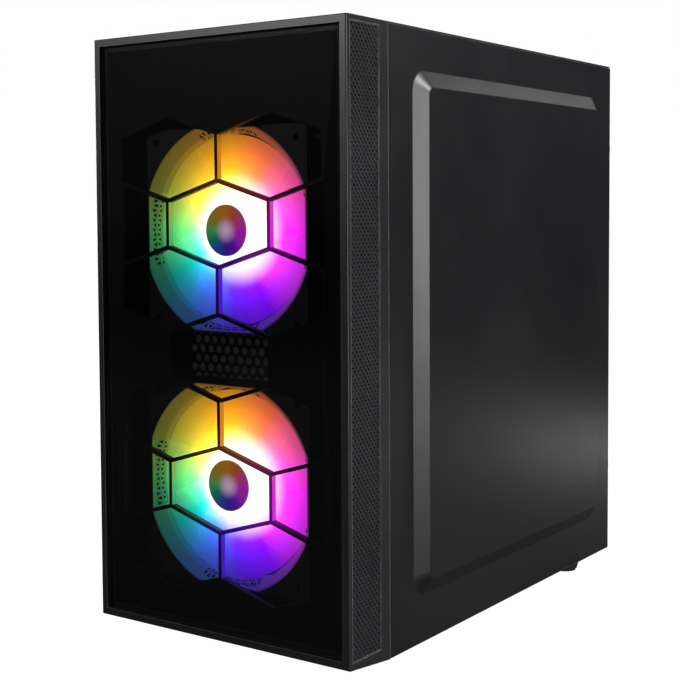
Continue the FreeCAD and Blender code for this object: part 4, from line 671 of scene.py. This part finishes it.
def strut_painted_light_finish() -> StrutPaintedLightFinish:
    """The grille's finish, with the light of both intake fans painted on.

    Returns:
        The finish.
    """
    centres = tuple(tuple((low + high) / 2) for low, high in
                    (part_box(level + "_fan_cap") for level in ("upper", "lower")))
    base = GRILLE_BLACK
    return StrutPaintedLightFinish("grille_moulding_painted_fan_light", base.colour, base.tone, base.roughness, grain=base.grain,
                       wear=base.wear, specular=base.specular, centres=centres)


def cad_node(name: str) -> Piece:
    """The carried-over object of a node."""
    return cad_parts[name]


def paint(piece: Piece, finish: Finish) -> None:
    """Gives a piece one finish in its material slots.

    Args:
        piece: the object, new or carried over.
        finish: the finish that it gets.
    """
    materials = piece.data.materials
    if len(materials) == 0:
        materials.append(finish.material())
    for i in range(len(materials)):
        materials[i] = finish.material()


# ----------------------------------------------------------------- mesh building
class Shape:
    """Points and faces of one piece, gathered from simple closed forms."""

    def __init__(self) -> None:
        """Starts empty."""
        self.points: list[Vector] = []
        self.faces: list[tuple[int, ...]] = []

    def add(self, points: list, faces: list) -> None:
        """Adds points and the faces that join them.

        Args:
            points: places, in metres.
            faces: tuples of indices into points.
        """
        start = len(self.points)
        self.points += [Vector(p) for p in points]
        self.faces += [tuple(start + i for i in face) for face in faces]

    def box(self, low: Point, high: Point) -> None:
        """Adds a box between two corners."""
        points = [(x, y, z) for x in (low[0], high[0]) for y in (low[1], high[1]) for z in (low[2], high[2])]
        self.add(points, [(0, 1, 3, 2), (4, 6, 7, 5), (0, 4, 5, 1), (2, 3, 7, 6), (0, 2, 6, 4), (1, 5, 7, 3)])

    def turned(self, profile: list[tuple[float, float]], centre: Point, axis: Point, sides: int) -> None:
        """Adds a closed turned form.

        Args:
            profile: (height, radius) along the axis, from one end to the other.
            centre: where height 0 is.
            axis: direction of the axis.
            sides: number of sides.
        """
        turn = Vector((0, 0, 1)).rotation_difference(Vector(axis))
        points, faces = [], []
        for height, radius in profile:
            for k in range(sides):
                angle = math.tau * k / sides
                spot = Vector((radius * math.cos(angle), radius * math.sin(angle), height))
                points.append(turn @ spot + Vector(centre))
        for ring in range(len(profile) - 1):
            for k in range(sides):
                a, b = ring * sides + k, ring * sides + (k + 1) % sides
                faces.append((a, b, b + sides, a + sides))
        faces.append(tuple(reversed(range(sides))))
        faces.append(tuple(range((len(profile) - 1) * sides, len(profile) * sides)))
        self.add(points, faces)

    def piece(self, name: str, finish: Finish, bevel: float = 0.0, smooth: bool = False) -> Piece:
        """Makes the object.

        Args:
            name: the piece's name.
            finish: the finish that it gets.
            bevel: width of the rounding on its edges, none at 0.
            smooth: whether its faces are shaded smooth.

        Returns:
            The new object, linked to the scene.
        """
        mesh = bpy.data.meshes.new(name)
        mesh.from_pydata([tuple(p) for p in self.points], [], self.faces)
        mesh.update()
        if smooth:
            mesh.shade_smooth()
        made = bpy.data.objects.new(name, mesh)
        bpy.context.scene.collection.objects.link(made)
        if bevel > 0:
            rounding = made.modifiers.new("rounding", "BEVEL")
            rounding.width, rounding.segments, rounding.limit_method = bevel, 2, "ANGLE"
        paint(made, finish)
        return made


def settle(piece: Piece, body: str, slot: str, *replaced: str) -> Piece:
    """Ties a piece to its body and hides the nodes that it stands for.

    Args:
        piece: the object, in place.
        body: name of the body that it moves with.
        slot: not used.
        replaced: nodes that are hidden for it.

    Returns:
        The same object.
    """
    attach(piece, body)
    if replaced:
        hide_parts(*replaced)
    LOG.info("piece %s rides on %s", piece.name, body)
    return piece


def wire(name: str, routes: list[list[Point]], radius: float, finish: Finish) -> Piece:
    """Round wires as one curve object.

    Args:
        name: the piece's name.
        routes: points that each wire runs along.
        radius: the wires' radius.
        finish: the finish that they get.

    Returns:
        The new curve object.
    """
    curve = bpy.data.curves.new(name, "CURVE")
    curve.dimensions, curve.bevel_depth, curve.bevel_resolution = "3D", radius, 3
    curve.resolution_u, curve.use_fill_caps = 8, True
    for route in routes:
        spline = curve.splines.new("NURBS")
        spline.points.add(len(route) - 1)
        for point, place in zip(spline.points, route):
            point.co = (*place, 1.0)
        spline.order_u = 3
        spline.use_endpoint_u = True
    made = bpy.data.objects.new(name, curve)
    bpy.context.scene.collection.objects.link(made)
    paint(made, finish)
    return made


# ------------------------------------------------------------------ front panel
@dataclass
class IntakeStrips:
    """Perforated steel strips in the two sides of the front moulding."""

    pitch: float = 3.1 * MM
    row: float = 2.1 * MM
    hole_half: float = 1.22 * MM
    hole_rise: float = 0.74 * MM
    thick: float = 0.7 * MM
    tilt: float = 0.22 * MM
    depth: float = 0.5 * MM        # the sheet's middle, in from the outer face
    rim: float = 0.5 * MM
    rim_proud: float = 0.25 * MM
    backing_inset: float = 0.6 * MM
    backing_gap: float = 0.42 * MM
    backing_thick: float = 0.25 * MM

    def build(self) -> None:
        """Makes the left and the right strip."""
        low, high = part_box("intake_meshes")
        for name, x, out in (("intake_strip_left", low.x, -1), ("intake_strip_right", high.x, 1)):
            strip = self._strip(name, x - out * self.depth, out, low, high)
            replaced = ("intake_meshes",) if out > 0 else ()
            settle(strip, "front_panel", "mesh", *replaced)

    def _strip(self, name: str, x: float, out: int, low: Vector, high: Vector) -> Piece:
        """One strip of staggered oval holes inside a thin rim.

        Args:
            name: the piece's name.
            x: middle of the sheet.
            out: 1 for the right side, -1 for the left.
            low: lowest corner of the two strips.
            high: highest corner of the two strips.

        Returns:
            The strip.
        """
        columns = int((high.y - low.y - 2 * self.rim) // self.pitch)
        rows = int((high.z - low.z - 2 * self.rim) // self.row)
        pitch = (high.y - low.y - 2 * self.rim) / columns
        row = (high.z - low.z - 2 * self.rim) / rows
        shape = Shape()
        for j in range(rows):
            z = low.z + self.rim + (j + 0.5) * row
            shift = 0.5 * (j % 2)
            for i in range(columns - j % 2):
                y = low.y + self.rim + (i + 0.5 + shift) * pitch
                self._cell(shape, x, out, y, z, pitch / 2, row / 2)
            if j % 2:
                for y in (low.y + self.rim, high.y - self.rim - pitch / 2):
                    corners = [(x, y, z - row / 2), (x, y + pitch / 2, z - row / 2),
                               (x, y + pitch / 2, z + row / 2), (x, y, z + row / 2)]
                    shape.add(corners, [(0, 1, 2, 3)])
        strip = shape.piece(name, MESH_STEEL)
        sheet = strip.modifiers.new("sheet", "SOLIDIFY")
        sheet.thickness, sheet.offset = self.thick, 0.0
        self._rim(strip, x, out, low, high)
        self._backing(strip, x, out, low, high)
        return strip

    def _cell(self, shape: Shape, x: float, out: int, y: float, z: float, half: float, rise: float) -> None:
        """Sheet round one oval hole, its lower lip pressed outwards.

        Args:
            shape: what it is added to.
            x: middle of the sheet.
            out: 1 for the right side, -1 for the left.
            y: middle of the hole.
            z: height of the hole's middle.
            half: half the cell's width.
            rise: half the cell's height.
        """
        outer = ((1, 0), (1, 1), (0, 1), (-1, 1), (-1, 0), (-1, -1), (0, -1), (1, -1))
        points = [(x, y + u * half, z + v * rise) for u, v in outer]
        for k in range(8):
            angle = math.tau * k / 8
            lean = -math.sin(angle) * self.tilt * out
            points.append((x + lean, y + self.hole_half * math.cos(angle),
                           z + self.hole_rise * math.sin(angle)))
        faces = [(k, (k + 1) % 8, 8 + (k + 1) % 8, 8 + k) for k in range(8)]
        shape.add(points, faces)

    def _backing(self, strip: Piece, x: float, out: int, low: Vector, high: Vector) -> None:
        """Thin stiff dust filter behind the strip.

        Args:
            strip: the strip that it backs.
            x: middle of the sheet.
            out: 1 for the right side, -1 for the left.
            low: lowest corner of the two strips.
            high: highest corner of the two strips.
        """
        inset = self.backing_inset
        x0, x1 = sorted((x - out * self.backing_gap, x - out * (self.backing_gap + self.backing_thick)))
        shape = Shape()
        shape.box((x0, low.y + inset, low.z + inset), (x1, high.y - inset, high.z - inset))
        settle(shape.piece(strip.name + "_backing", FILTER_BACKING), "front_panel", "mesh")

    def _rim(self, strip: Piece, x: float, out: int, low: Vector, high: Vector) -> None:
        """Thin frame round the strip.

        Args:
            strip: the strip that it frames.
            x: middle of the sheet.
            out: 1 for the right side, -1 for the left.
            low: lowest corner of the two strips.
            high: highest corner of the two strips.
        """
        x0, x1 = sorted((x - out * self.depth, x + out * (self.depth + self.rim_proud)))
        band = self.rim
        shape = Shape()
        shape.box((x0, low.y, low.z), (x1, low.y + band, high.z))
        shape.box((x0, high.y - band, low.z), (x1, high.y, high.z))
        shape.box((x0, low.y + band, low.z), (x1, high.y - band, low.z + band))
        shape.box((x0, low.y + band, high.z - band), (x1, high.y - band, high.z))
        settle(shape.piece(strip.name + "_rim", BEZEL, bevel=0.12 * MM), "front_panel", "bezel_rim")


# ---------------------------------------------------------------- lit intake fans
@dataclass(frozen=True)
class GlowLook:
    """Plastic and brightness of one part of a lit fan."""

    base: float                    # grey of the plastic itself
    level: float                   # share of the fan's strength
    roughness: float = 0.5


GLOW_LOOKS: dict[Glow, GlowLook] = {
    Glow.BLADE: GlowLook(0.10, 1.0),
    Glow.RING: GlowLook(0.08, 0.62),
    Glow.SWEEP: GlowLook(0.06, 1.0),
    # this share lights the cap's painted reflection and glint
    Glow.CAP_PAINTED_REFLECTION: GlowLook(0.015, 0.55, 0.16),
}


@dataclass
class LitFan:
    """One lit intake fan: glowing rotor and liner, a cap with a painted reflection and glint, and the truss
    print on its corners.
    """

    level: str                    # upper or lower
    strength: float = 2.7
    sweep_depth: float = 8.5 * MM  # blurred blades behind the liner's front edge
    flat: float = 58.4 * MM       # the liner's flat sides
    flare: float = 62.2 * MM      # inner radius of the liner at its front edge
    bore: float = 57.2 * MM
    flare_depth: float = 6.0 * MM
    hub: float = 20.0 * MM
    hub_gap: float = 0.25 * MM
    tip: float = 55.8 * MM
    sweep_half: float = 0.3 * MM
    sides: int = 96
    print_pitch: float = math.radians(2.9)
    print_reach: int = 7          # triangles to each side of a flat's middle
    print_rows: tuple[float, float] = (0.62, 1.12)
    print_tall: float = 0.17
    print_wide: float = 0.36
    print_lifts: tuple[float, float] = (0.05 * MM, 0.30 * MM)

    def build(self) -> None:
        """Dresses the fan's nodes and adds its own pieces."""
        low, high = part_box(f"{self.level}_fan_cap")
        centre = (low + high) / 2
        body = f"{self.level}_fan"
        for part, glow in (("rotor", Glow.BLADE), ("light_ring", Glow.RING), ("cap", Glow.CAP_PAINTED_REFLECTION)):
            self._glow(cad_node(f"{self.level}_fan_{part}"), glow, centre)
        ring_low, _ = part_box(f"{self.level}_fan_light_ring")
        sweep = self._sweep(centre, ring_low.y)
        self._glow(sweep, Glow.SWEEP, centre)
        settle(sweep, body, "frosted_plastic")
        settle(self._truss(centre, ring_low.y), "chassis", "fan_black")

    def _glow(self, piece: Piece, part: Glow, centre: Vector) -> None:
        """Paints a piece with this fan's light.

        Args:
            piece: the object to paint.
            part: which part of the fan it is.
            centre: centre of the fan.
        """
        look = GLOW_LOOKS[part]
        finish = GlowFinish(f"{self.level}_{part.value}_glow", (look.base,) * 3, (look.base * 1.2,) * 3,
                            look.roughness, grain=700.0, wear=0.0, centre=tuple(centre), part=part,
                            strength=look.level * self.strength)
        paint(piece, finish)

    def _sweep(self, centre: Vector, front: float) -> Piece:
        """Thin see-through disc that the turning blades blur into.

        Args:
            centre: centre of the fan.
            front: y of the liner's front edge.

        Returns:
            The disc.
        """
        middle = front + self.sweep_depth
        inner, half = self.hub + self.hub_gap, self.sweep_half
        profile = [(-half, inner), (-half, self.tip), (half, self.tip), (half, inner)]
        points, faces = [], []
        for k in range(self.sides):
            angle = math.tau * k / self.sides
            for depth, radius in profile:
                points.append((centre.x + radius * math.cos(angle), middle + depth,
                               centre.z + radius * math.sin(angle)))
        for k in range(self.sides):
            a, b = 4 * k, 4 * ((k + 1) % self.sides)
            faces += [(a + i, a + (i + 1) % 4, b + (i + 1) % 4, b + i) for i in range(4)]
        shape = Shape()
        shape.add(points, faces)
        return shape.piece(f"{self.level}_fan_blade_sweep", FAN_BLACK)

    def _truss(self, centre: Vector, front: float) -> Piece:
        """Small dark triangles on the liner's flare, at its four flat sides.

        Args:
            centre: centre of the fan.
            front: y of the liner's front edge.

        Returns:
            The print.
        """
        shape = Shape()
        for side in range(4):
            for k in range(-self.print_reach, self.print_reach + 1):
                angle = side * math.pi / 2 + k * self.print_pitch
                for row, share in enumerate(self.print_rows):
                    self._triangle(shape, centre, front, angle, share, (k % 2 == 0) == (row == 0))
        return shape.piece(f"{self.level}_fan_truss_print", GRILLE_BLACK)

    def _triangle(self, shape: Shape, centre: Vector, front: float, angle: float, share: float,
                  point_in: bool) -> None:
        """One thin triangle lying on the flare.

        Args:
            shape: what it is added to.
            centre: centre of the fan.
            front: y of the liner's front edge.
            angle: direction from the hub.
            share: how far down the flare its middle is, from 0 to 1.
            point_in: whether its tip points to the hub.
        """
        tall = self.print_tall if point_in else -self.print_tall
        corners = ((share + tall, 0.0), (share - tall, self.print_wide), (share - tall, -self.print_wide))
        points = []
        for lift in self.print_lifts:
            limit = self.flat - lift
            for down, along in corners:
                radius = self.flare + (self.bore - self.flare) * min(down, 1.0) - lift
                turn = angle + along * self.print_pitch
                side = max(-limit, min(limit, radius * math.cos(turn)))
                rise = max(-limit, min(limit, radius * math.sin(turn)))
                points.append((centre.x + side, front + self.flare_depth * down - lift * 0.5,
                               centre.z + rise))
        shape.add(points, [(0, 1, 2), (5, 4, 3), (0, 3, 4, 1), (1, 4, 5, 2), (2, 5, 3, 0)])


# ------------------------------------------------------------------ filters, wires
@dataclass
class FilterNets:
    """Fine nets of the roof filter and the power supply's filter."""

    pitch: float = 2.0 * MM
    strand: float = 0.32 * MM
    rise: float = 0.9 * MM          # of the net above the frame's underside
    roof_edge: float = 6.0 * MM
    supply_edge: float = 7.0 * MM
    supply_handle: float = 18.0 * MM

    def build(self) -> None:
        """Makes both nets."""
        self._net("roof_filter_net", "top_filter", "roof_filter", self.roof_edge, self.roof_edge)
        self._net("supply_filter_net", "psu_filter", "supply_filter", self.supply_edge, self.supply_handle)

    def _net(self, name: str, node: str, body: str, edge: float, rear: float) -> None:
        """Net of crossing strands that fills a filter's frame.

        Args:
            name: the piece's name.
            node: the filter's frame.
            body: the body that it moves with.
            edge: width of the frame at its sides and front.
            rear: width of the frame at its rear.
        """
        low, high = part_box(node)
        x0, x1, y0, y1 = low.x + edge, high.x - edge, low.y + edge, high.y - rear
        z = low.z + self.rise
        half = self.strand / 2
        shape = Shape()
        for i in range(int((x1 - x0) / self.pitch)):
            x = x0 + (i + 0.5) * self.pitch
            shape.box((x - half, y0, z), (x + half, y1, z + self.strand))
        for j in range(int((y1 - y0) / self.pitch)):
            y = y0 + (j + 0.5) * self.pitch
            shape.box((x0, y - half, z + self.strand), (x1, y + half, z + 2 * self.strand))
        settle(shape.piece(name, FILTER_NET), body, "mesh")


@dataclass
class Loom:
    """Sleeved wires of the main power cable and the upper fan's lead."""

    rows: int = 12
    half_height: float = 23.0 * MM
    wire_radius: float = 0.9 * MM
    board_end: float = 55.0 * MM      # x of the cable's socket
    bend_x: float = 47.0 * MM
    tray_end: float = 87.0 * MM
    socket_y: float = -42.75 * MM
    slot_y: float = -61.75 * MM
    middle_z: float = 266.0 * MM
    wire_fill: float = 0.97           # of the wires' own pitch
    comb_half: Point = (1.2 * MM, 2.3 * MM, 25.0 * MM)
    comb_x: tuple[float, float] = (50.5 * MM, 64.0 * MM)
    lead_radius: float = 0.8 * MM
    lead_route: tuple[Point, ...] = (
        (-33.5 * MM, -141.3 * MM, 313.8 * MM), (-31.5 * MM, -142.1 * MM, 320.0 * MM),
        (-17.5 * MM, -139.1 * MM, 333.0 * MM), (-3.5 * MM, -129.5 * MM, 337.0 * MM),
        (18.5 * MM, -119.5 * MM, 335.0 * MM), (67.0 * MM, -118.5 * MM, 325.0 * MM),
        (73.6 * MM, -104.5 * MM, 319.0 * MM))

    def build(self) -> None:
        """Makes the power cable, the fan lead and its plug."""
        routes = []
        for i in range(self.rows):
            z = self.middle_z + self.half_height * (2 * i / (self.rows - 1) - 1)
            for step in (-1, 1):
                routes.append(self._turn(z, step * self.wire_radius))
        cable = wire("main_power_wires", routes, self.wire_radius * self.wire_fill, SLEEVE)
        settle(cable, "chassis", "cable", "internal_cables")
        lead = wire("upper_fan_lead", [list(self.lead_route)], self.lead_radius, LEAD_SLEEVE)
        settle(lead, "chassis", "cable")
        self._combs()
        self._plug()

    def _turn(self, z: float, offset: float) -> list[Point]:
        """Route of one wire from the socket, round the bend and through the tray.

        Args:
            z: height of the wire.
            offset: how far the wire lies outside the cable's middle.

        Returns:
            The points that it runs along.
        """
        reach = (self.socket_y - self.slot_y) / 2
        middle = (self.socket_y + self.slot_y) / 2
        route = [(self.board_end, self.socket_y + offset, z), (self.bend_x, self.socket_y + offset, z)]
        radius = reach + offset
        for k in range(1, 6):
            angle = math.pi / 2 - math.pi * k / 6
            route.append((self.bend_x - radius * math.cos(angle), middle + radius * math.sin(angle), z))
        route.append((self.bend_x, self.slot_y - offset, z))
        route.append((self.tray_end, self.slot_y - offset, z))
        return route

    def _combs(self) -> None:
        """Small combs that hold the wires side by side."""
        shape = Shape()
        half = Vector(self.comb_half)
        for x, y in zip(self.comb_x, (self.socket_y, self.slot_y)):
            middle = Vector((x, y, self.middle_z))
            shape.box(tuple(middle - half), tuple(middle + half))
        settle(shape.piece("cable_combs", CONNECTOR, bevel=0.4 * MM), "chassis", "connector_plastic")

    def _plug(self) -> None:
        """Small in-line connector on the fan lead."""
        shape = Shape()
        x, y, z = self.lead_route[2]
        shape.box((x - 7 * MM, y + 1.5 * MM, z - 7 * MM), (x - 1 * MM, y + 5.0 * MM, z - 2 * MM))
        settle(shape.piece("upper_fan_plug", LEAD_PLUG, bevel=0.4 * MM), "chassis", "connector_plastic")


# -------------------------------------------------------------- board components
@dataclass
class BoardParts:
    """Capacitors, chokes, chips and small parts on the main board, and the card's back plate."""

    seed: int = 7
    small_parts: int = 170
    can_radius: float = 3.0 * MM
    can_height: float = 8.0 * MM
    bank: int = 8                   # chokes and cans by the processor
    bank_top: float = 46 * MM       # below the board's top
    bank_pitch: float = 8.5 * MM
    can_column: float = 68 * MM     # from the board's rear edge
    choke_column: float = 58.5 * MM
    choke_half: float = 3.4 * MM
    choke_height: float = 4.5 * MM
    row_pitch: float = 9 * MM
    # each chip in millimetres: from the rear edge, above the lower edge, width and height
    chips: tuple[tuple[int, int, int, int], ...] = (
        (112, 30, 12, 12), (96, 52, 9, 9), (60, 46, 7, 10), (52, 20, 10, 7), (140, 96, 8, 8),
        (34, 112, 9, 6), (170, 118, 7, 7))
    chip_height: float = 1.2 * MM
    headers: int = 9
    header_first: float = 40 * MM
    header_pitch: float = 17 * MM
    header_rise: float = 5 * MM
    header_size: Point = (6.0 * MM, 5 * MM, 2.2 * MM)    # height, half length, half width
    small_size: Point = (0.6 * MM, 0.9 * MM, 0.45 * MM)  # height, half length, half width
    card_bracket: float = 9 * MM    # part of the graphics card's box beyond the back plate
    plate_thick: float = 1.2 * MM
    ribs: int = 5
    rib_first: float = 18 * MM
    rib_pitch: float = 30 * MM
    rib_wide: float = 4 * MM
    rib_tall: float = 0.7 * MM

    def __post_init__(self) -> None:
        """Finds the board's face and edges."""
        low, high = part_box("mainboard")
        self.face, self.rear, self.top = low.x, high.y, high.z
        self.front, self.bottom = low.y, low.z

    def build(self) -> None:
        """Makes every group of parts."""
        self._cans()
        self._chokes()
        self._chips()
        self._small()
        self._back_plate()

    def _block(self, shape: Shape, y: float, z: float, half_y: float, half_z: float, tall: float) -> None:
        """Block that stands on the board's face.

        Args:
            shape: what it is added to.
            y: its middle along the board.
            z: its middle up the board.
            half_y: half its length along the board.
            half_z: half its length up the board.
            tall: how far it stands off the face.
        """
        shape.box((self.face - tall, y - half_y, z - half_z), (self.face, y + half_y, z + half_z))

    def _cans(self) -> None:
        """Capacitor cans in rows by the processor, the ports and the card slots."""
        shape = Shape()
        pitch = self.row_pitch
        spots = [(self.rear - self.can_column, self.top - self.bank_top - i * self.bank_pitch)
                 for i in range(self.bank)]
        spots += [(self.rear - 24 * MM, self.bottom + 14 * MM + i * pitch) for i in range(5)]
        spots += [(self.front + 16 * MM, self.top - 60 * MM - i * pitch) for i in range(3)]
        spots += [(self.rear - 110 * MM - i * pitch, self.bottom + 12 * MM) for i in range(4)]
        r, h = self.can_radius, self.can_height
        profile = [(0, r * 1.08), (0.8 * MM, r * 1.08), (1.2 * MM, r * 0.9), (1.8 * MM, r),
                   (h - 0.5 * MM, r), (h, r * 0.86), (h - 0.3 * MM, r * 0.7)]
        for y, z in spots:
            shape.turned(profile, (self.face, y, z), (-1, 0, 0), 20)
        settle(shape.piece("board_capacitors", CAN), "chassis", "aluminium")

    def _chokes(self) -> None:
        """Square chokes beside the heat sink of the regulators."""
        shape = Shape()
        for i in range(self.bank):
            self._block(shape, self.rear - self.choke_column, self.top - self.bank_top - i * self.bank_pitch,
                        self.choke_half, self.choke_half, self.choke_height)
        settle(shape.piece("board_chokes", CHIP, bevel=0.5 * MM), "chassis", "connector_plastic")

    def _chips(self) -> None:
        """Flat chips and pin headers."""
        shape = Shape()
        for back, rise, wide, tall in self.chips:
            self._block(shape, self.rear - back * MM, self.bottom + rise * MM, wide * MM / 2,
                        tall * MM / 2, self.chip_height)
        height, half_long, half_wide = self.header_size
        for i in range(self.headers):
            self._block(shape, self.front + self.header_first + i * self.header_pitch,
                        self.bottom + self.header_rise, half_long, half_wide, height)
        settle(shape.piece("board_chips", CHIP, bevel=0.2 * MM), "chassis", "connector_plastic")

    def _small(self) -> None:
        """Scatter of small parts, the same every time."""
        draw = random.Random(self.seed)
        height, long, short = self.small_size
        shape = Shape()
        for _ in range(self.small_parts):
            y = draw.uniform(self.front + 6 * MM, self.rear - 8 * MM)
            z = draw.uniform(self.bottom + 10 * MM, self.top - 8 * MM)
            half_y, half_z = (long, short) if draw.random() < 0.5 else (short, long)
            self._block(shape, y, z, half_y, half_z, height)
        settle(shape.piece("board_small_parts", STEEL_BRIGHT), "chassis", "bright_steel")

    def _back_plate(self) -> None:
        """Stiff plate on the graphics card with raised ribs."""
        low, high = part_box("graphics_board")
        right = high.x - self.card_bracket
        z = high.z + 0.6 * MM
        face = z + self.plate_thick
        shape = Shape()
        shape.box((low.x + MM, low.y + MM, z), (right, high.y - 3 * MM, face))
        for i in range(self.ribs):
            y = low.y + self.rib_first + i * self.rib_pitch
            shape.box((low.x + 8 * MM, y, face), (right - 12 * MM, y + self.rib_wide, face + self.rib_tall))
        settle(shape.piece("graphics_back_plate", STEEL_BLACK, bevel=0.4 * MM), "chassis", "steel_black")


# ------------------------------------------------------------------------ studio
@dataclass(frozen=True)
class FloorFinish(Finish):
    """Pale studio floor that stays near white where the camera sees it."""

    lift: float = 1.0

    def fill(self, w: Wiring, shader: bpy.types.Node) -> None:
        """Pale base with a lift that only the camera sees.

        Args:
            w: the material's wiring.
            shader: its Principled shader.
        """
        super().fill(w, shader)
        seen = w.put("ShaderNodeLightPath").outputs["Is Camera Ray"]
        w.join(shader, {"Emission Color": w.mix(seen, rgba((0.0, 0.0, 0.0)), rgba((self.lift,) * 3))})
        shader.inputs["Emission Strength"].default_value = 1.0


FLOOR = FloorFinish("studio_floor", (0.10, 0.10, 0.10), (0.12, 0.12, 0.12), 0.8, grain=60.0, depth=0.02,
                    wear=0.0, specular=0.1)


@dataclass(frozen=True)
class SoftLight:
    """One rectangular soft light."""

    name: str
    place: Point
    aim: Point                      # the point that it faces
    wide: float
    tall: float
    watts: float

    def build(self) -> None:
        """Makes the light, out of the camera's sight."""
        data = bpy.data.lights.new(self.name, "AREA")
        data.shape, data.size, data.size_y, data.energy = "RECTANGLE", self.wide, self.tall, self.watts
        light = bpy.data.objects.new(self.name, data)
        bpy.context.scene.collection.objects.link(light)
        light.location = self.place
        light.visible_camera = False
        light.rotation_mode = "QUATERNION"
        light.rotation_quaternion = (Vector(self.aim) - Vector(self.place)).to_track_quat("-Z", "Y")


@dataclass
class Studio:
    """Pale floor, soft lights and the camera."""

    azimuth: float = 35.133
    elevation: float = 3.038
    roll: float = -0.320
    distance: float = 0.9035
    lens: float = 70.1
    shift: float = -60 / 680
    aim_side: float = -25.02 * MM
    aim_rise: float = 27.79 * MM
    aim: Point = (1.05 * MM, -4.55 * MM, 189.0 * MM)
    fill: float = 0.07
    floor_half: float = 30.0
    lights: tuple[SoftLight, ...] = (
        SoftLight("slope_light", (1.25, -0.15, 0.40), (0.10, -0.10, 0.20), 0.25, 0.80, 10.4),
        SoftLight("rear_light", (0.278, 0.479, 0.024), (0.098, 0.096, 0.098), 0.14, 0.04, 0.042),
        SoftLight("head_light", (0.30, 1.28, 0.95), (0.10, 0.03, 0.33), 0.60, 0.40, 0.8),
        SoftLight("corner_light", (0.99, 0.26, 1.05), (0.10, -0.10, 0.33), 0.25, 0.25, 12.0),
        SoftLight("front_light", (-0.86, -1.38, 0.80), (0.0, -0.17, 0.19), 0.5, 0.2, 7.5),
        SoftLight("left_light", (-1.50, 0.50, 0.60), (0.0, 0.0, 0.20), 0.9, 0.9, 24.0),
    )

    def build(self) -> None:
        """Makes the whole set."""
        bpy.context.scene.view_settings.view_transform = "Standard"
        self._camera()
        self._floor()
        self._world()
        for light in self.lights:
            light.build()

    def _camera(self) -> None:
        """Camera in front of the right-hand edge of the glass, a little above the middle."""
        az, el, roll = (math.radians(v) for v in (self.azimuth, self.elevation, self.roll))
        back = Vector((math.sin(az) * math.cos(el), -math.cos(az) * math.cos(el), math.sin(el)))
        right = (-back).cross(Vector((0, 0, 1))).normalized()
        up = back.cross(right)
        target = Vector(self.aim) + right * self.aim_side + up * self.aim_rise
        data = bpy.data.cameras.new("camera")
        data.lens, data.shift_y = self.lens, self.shift
        data.clip_start, data.clip_end = 0.05, 60.0
        camera = bpy.data.objects.new("camera", data)
        bpy.context.scene.collection.objects.link(camera)
        turned = Matrix((right, up, back)).transposed() @ Matrix.Rotation(roll, 3, "Z")
        camera.matrix_world = Matrix.Translation(target + back * self.distance) @ turned.to_4x4()
        bpy.context.scene.camera = camera

    def _floor(self) -> None:
        """Plain pale floor that runs out past every view."""
        shape = Shape()
        half = self.floor_half
        shape.box((-half, -half, -0.02), (half, half, 0.0))
        shape.piece("floor", FLOOR)

    def _world(self) -> None:
        """White backdrop to the camera and a dim even fill for everything else."""
        world = bpy.data.worlds.new("studio")
        bpy.context.scene.world = world
        world.use_nodes = True
        world.node_tree.nodes.clear()
        w = Wiring(world.node_tree)
        seen = w.put("ShaderNodeLightPath").outputs["Is Camera Ray"]
        fill = w.put("ShaderNodeBackground", {"Color": rgba((0.95, 0.97, 1.0)), "Strength": self.fill})
        white = w.put("ShaderNodeBackground", {"Color": rgba((1.0, 1.0, 1.0)), "Strength": 1.0})
        both = w.put("ShaderNodeMixShader", {0: seen, 1: fill.outputs[0], 2: white.outputs[0]})
        w.put("ShaderNodeOutputWorld", {"Surface": both.outputs[0]})


def main() -> None:
    """Builds the studio, dresses the carried-over nodes and adds the finer pieces."""
    logging.basicConfig(level=logging.INFO, format="%(name)s %(message)s")
    Studio().build()
    for finish, names in DRESS.items():
        for name in names:
            paint(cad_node(name), finish)
            LOG.info("node %s wears %s", name, finish.name)
    paint(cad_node("honeycomb_grille"), strut_painted_light_finish())
    IntakeStrips().build()
    for level in ("upper", "lower"):
        LitFan(level).build()
    FilterNets().build()
    Loom().build()
    BoardParts().build()


if __name__ == "__main__":
    main()
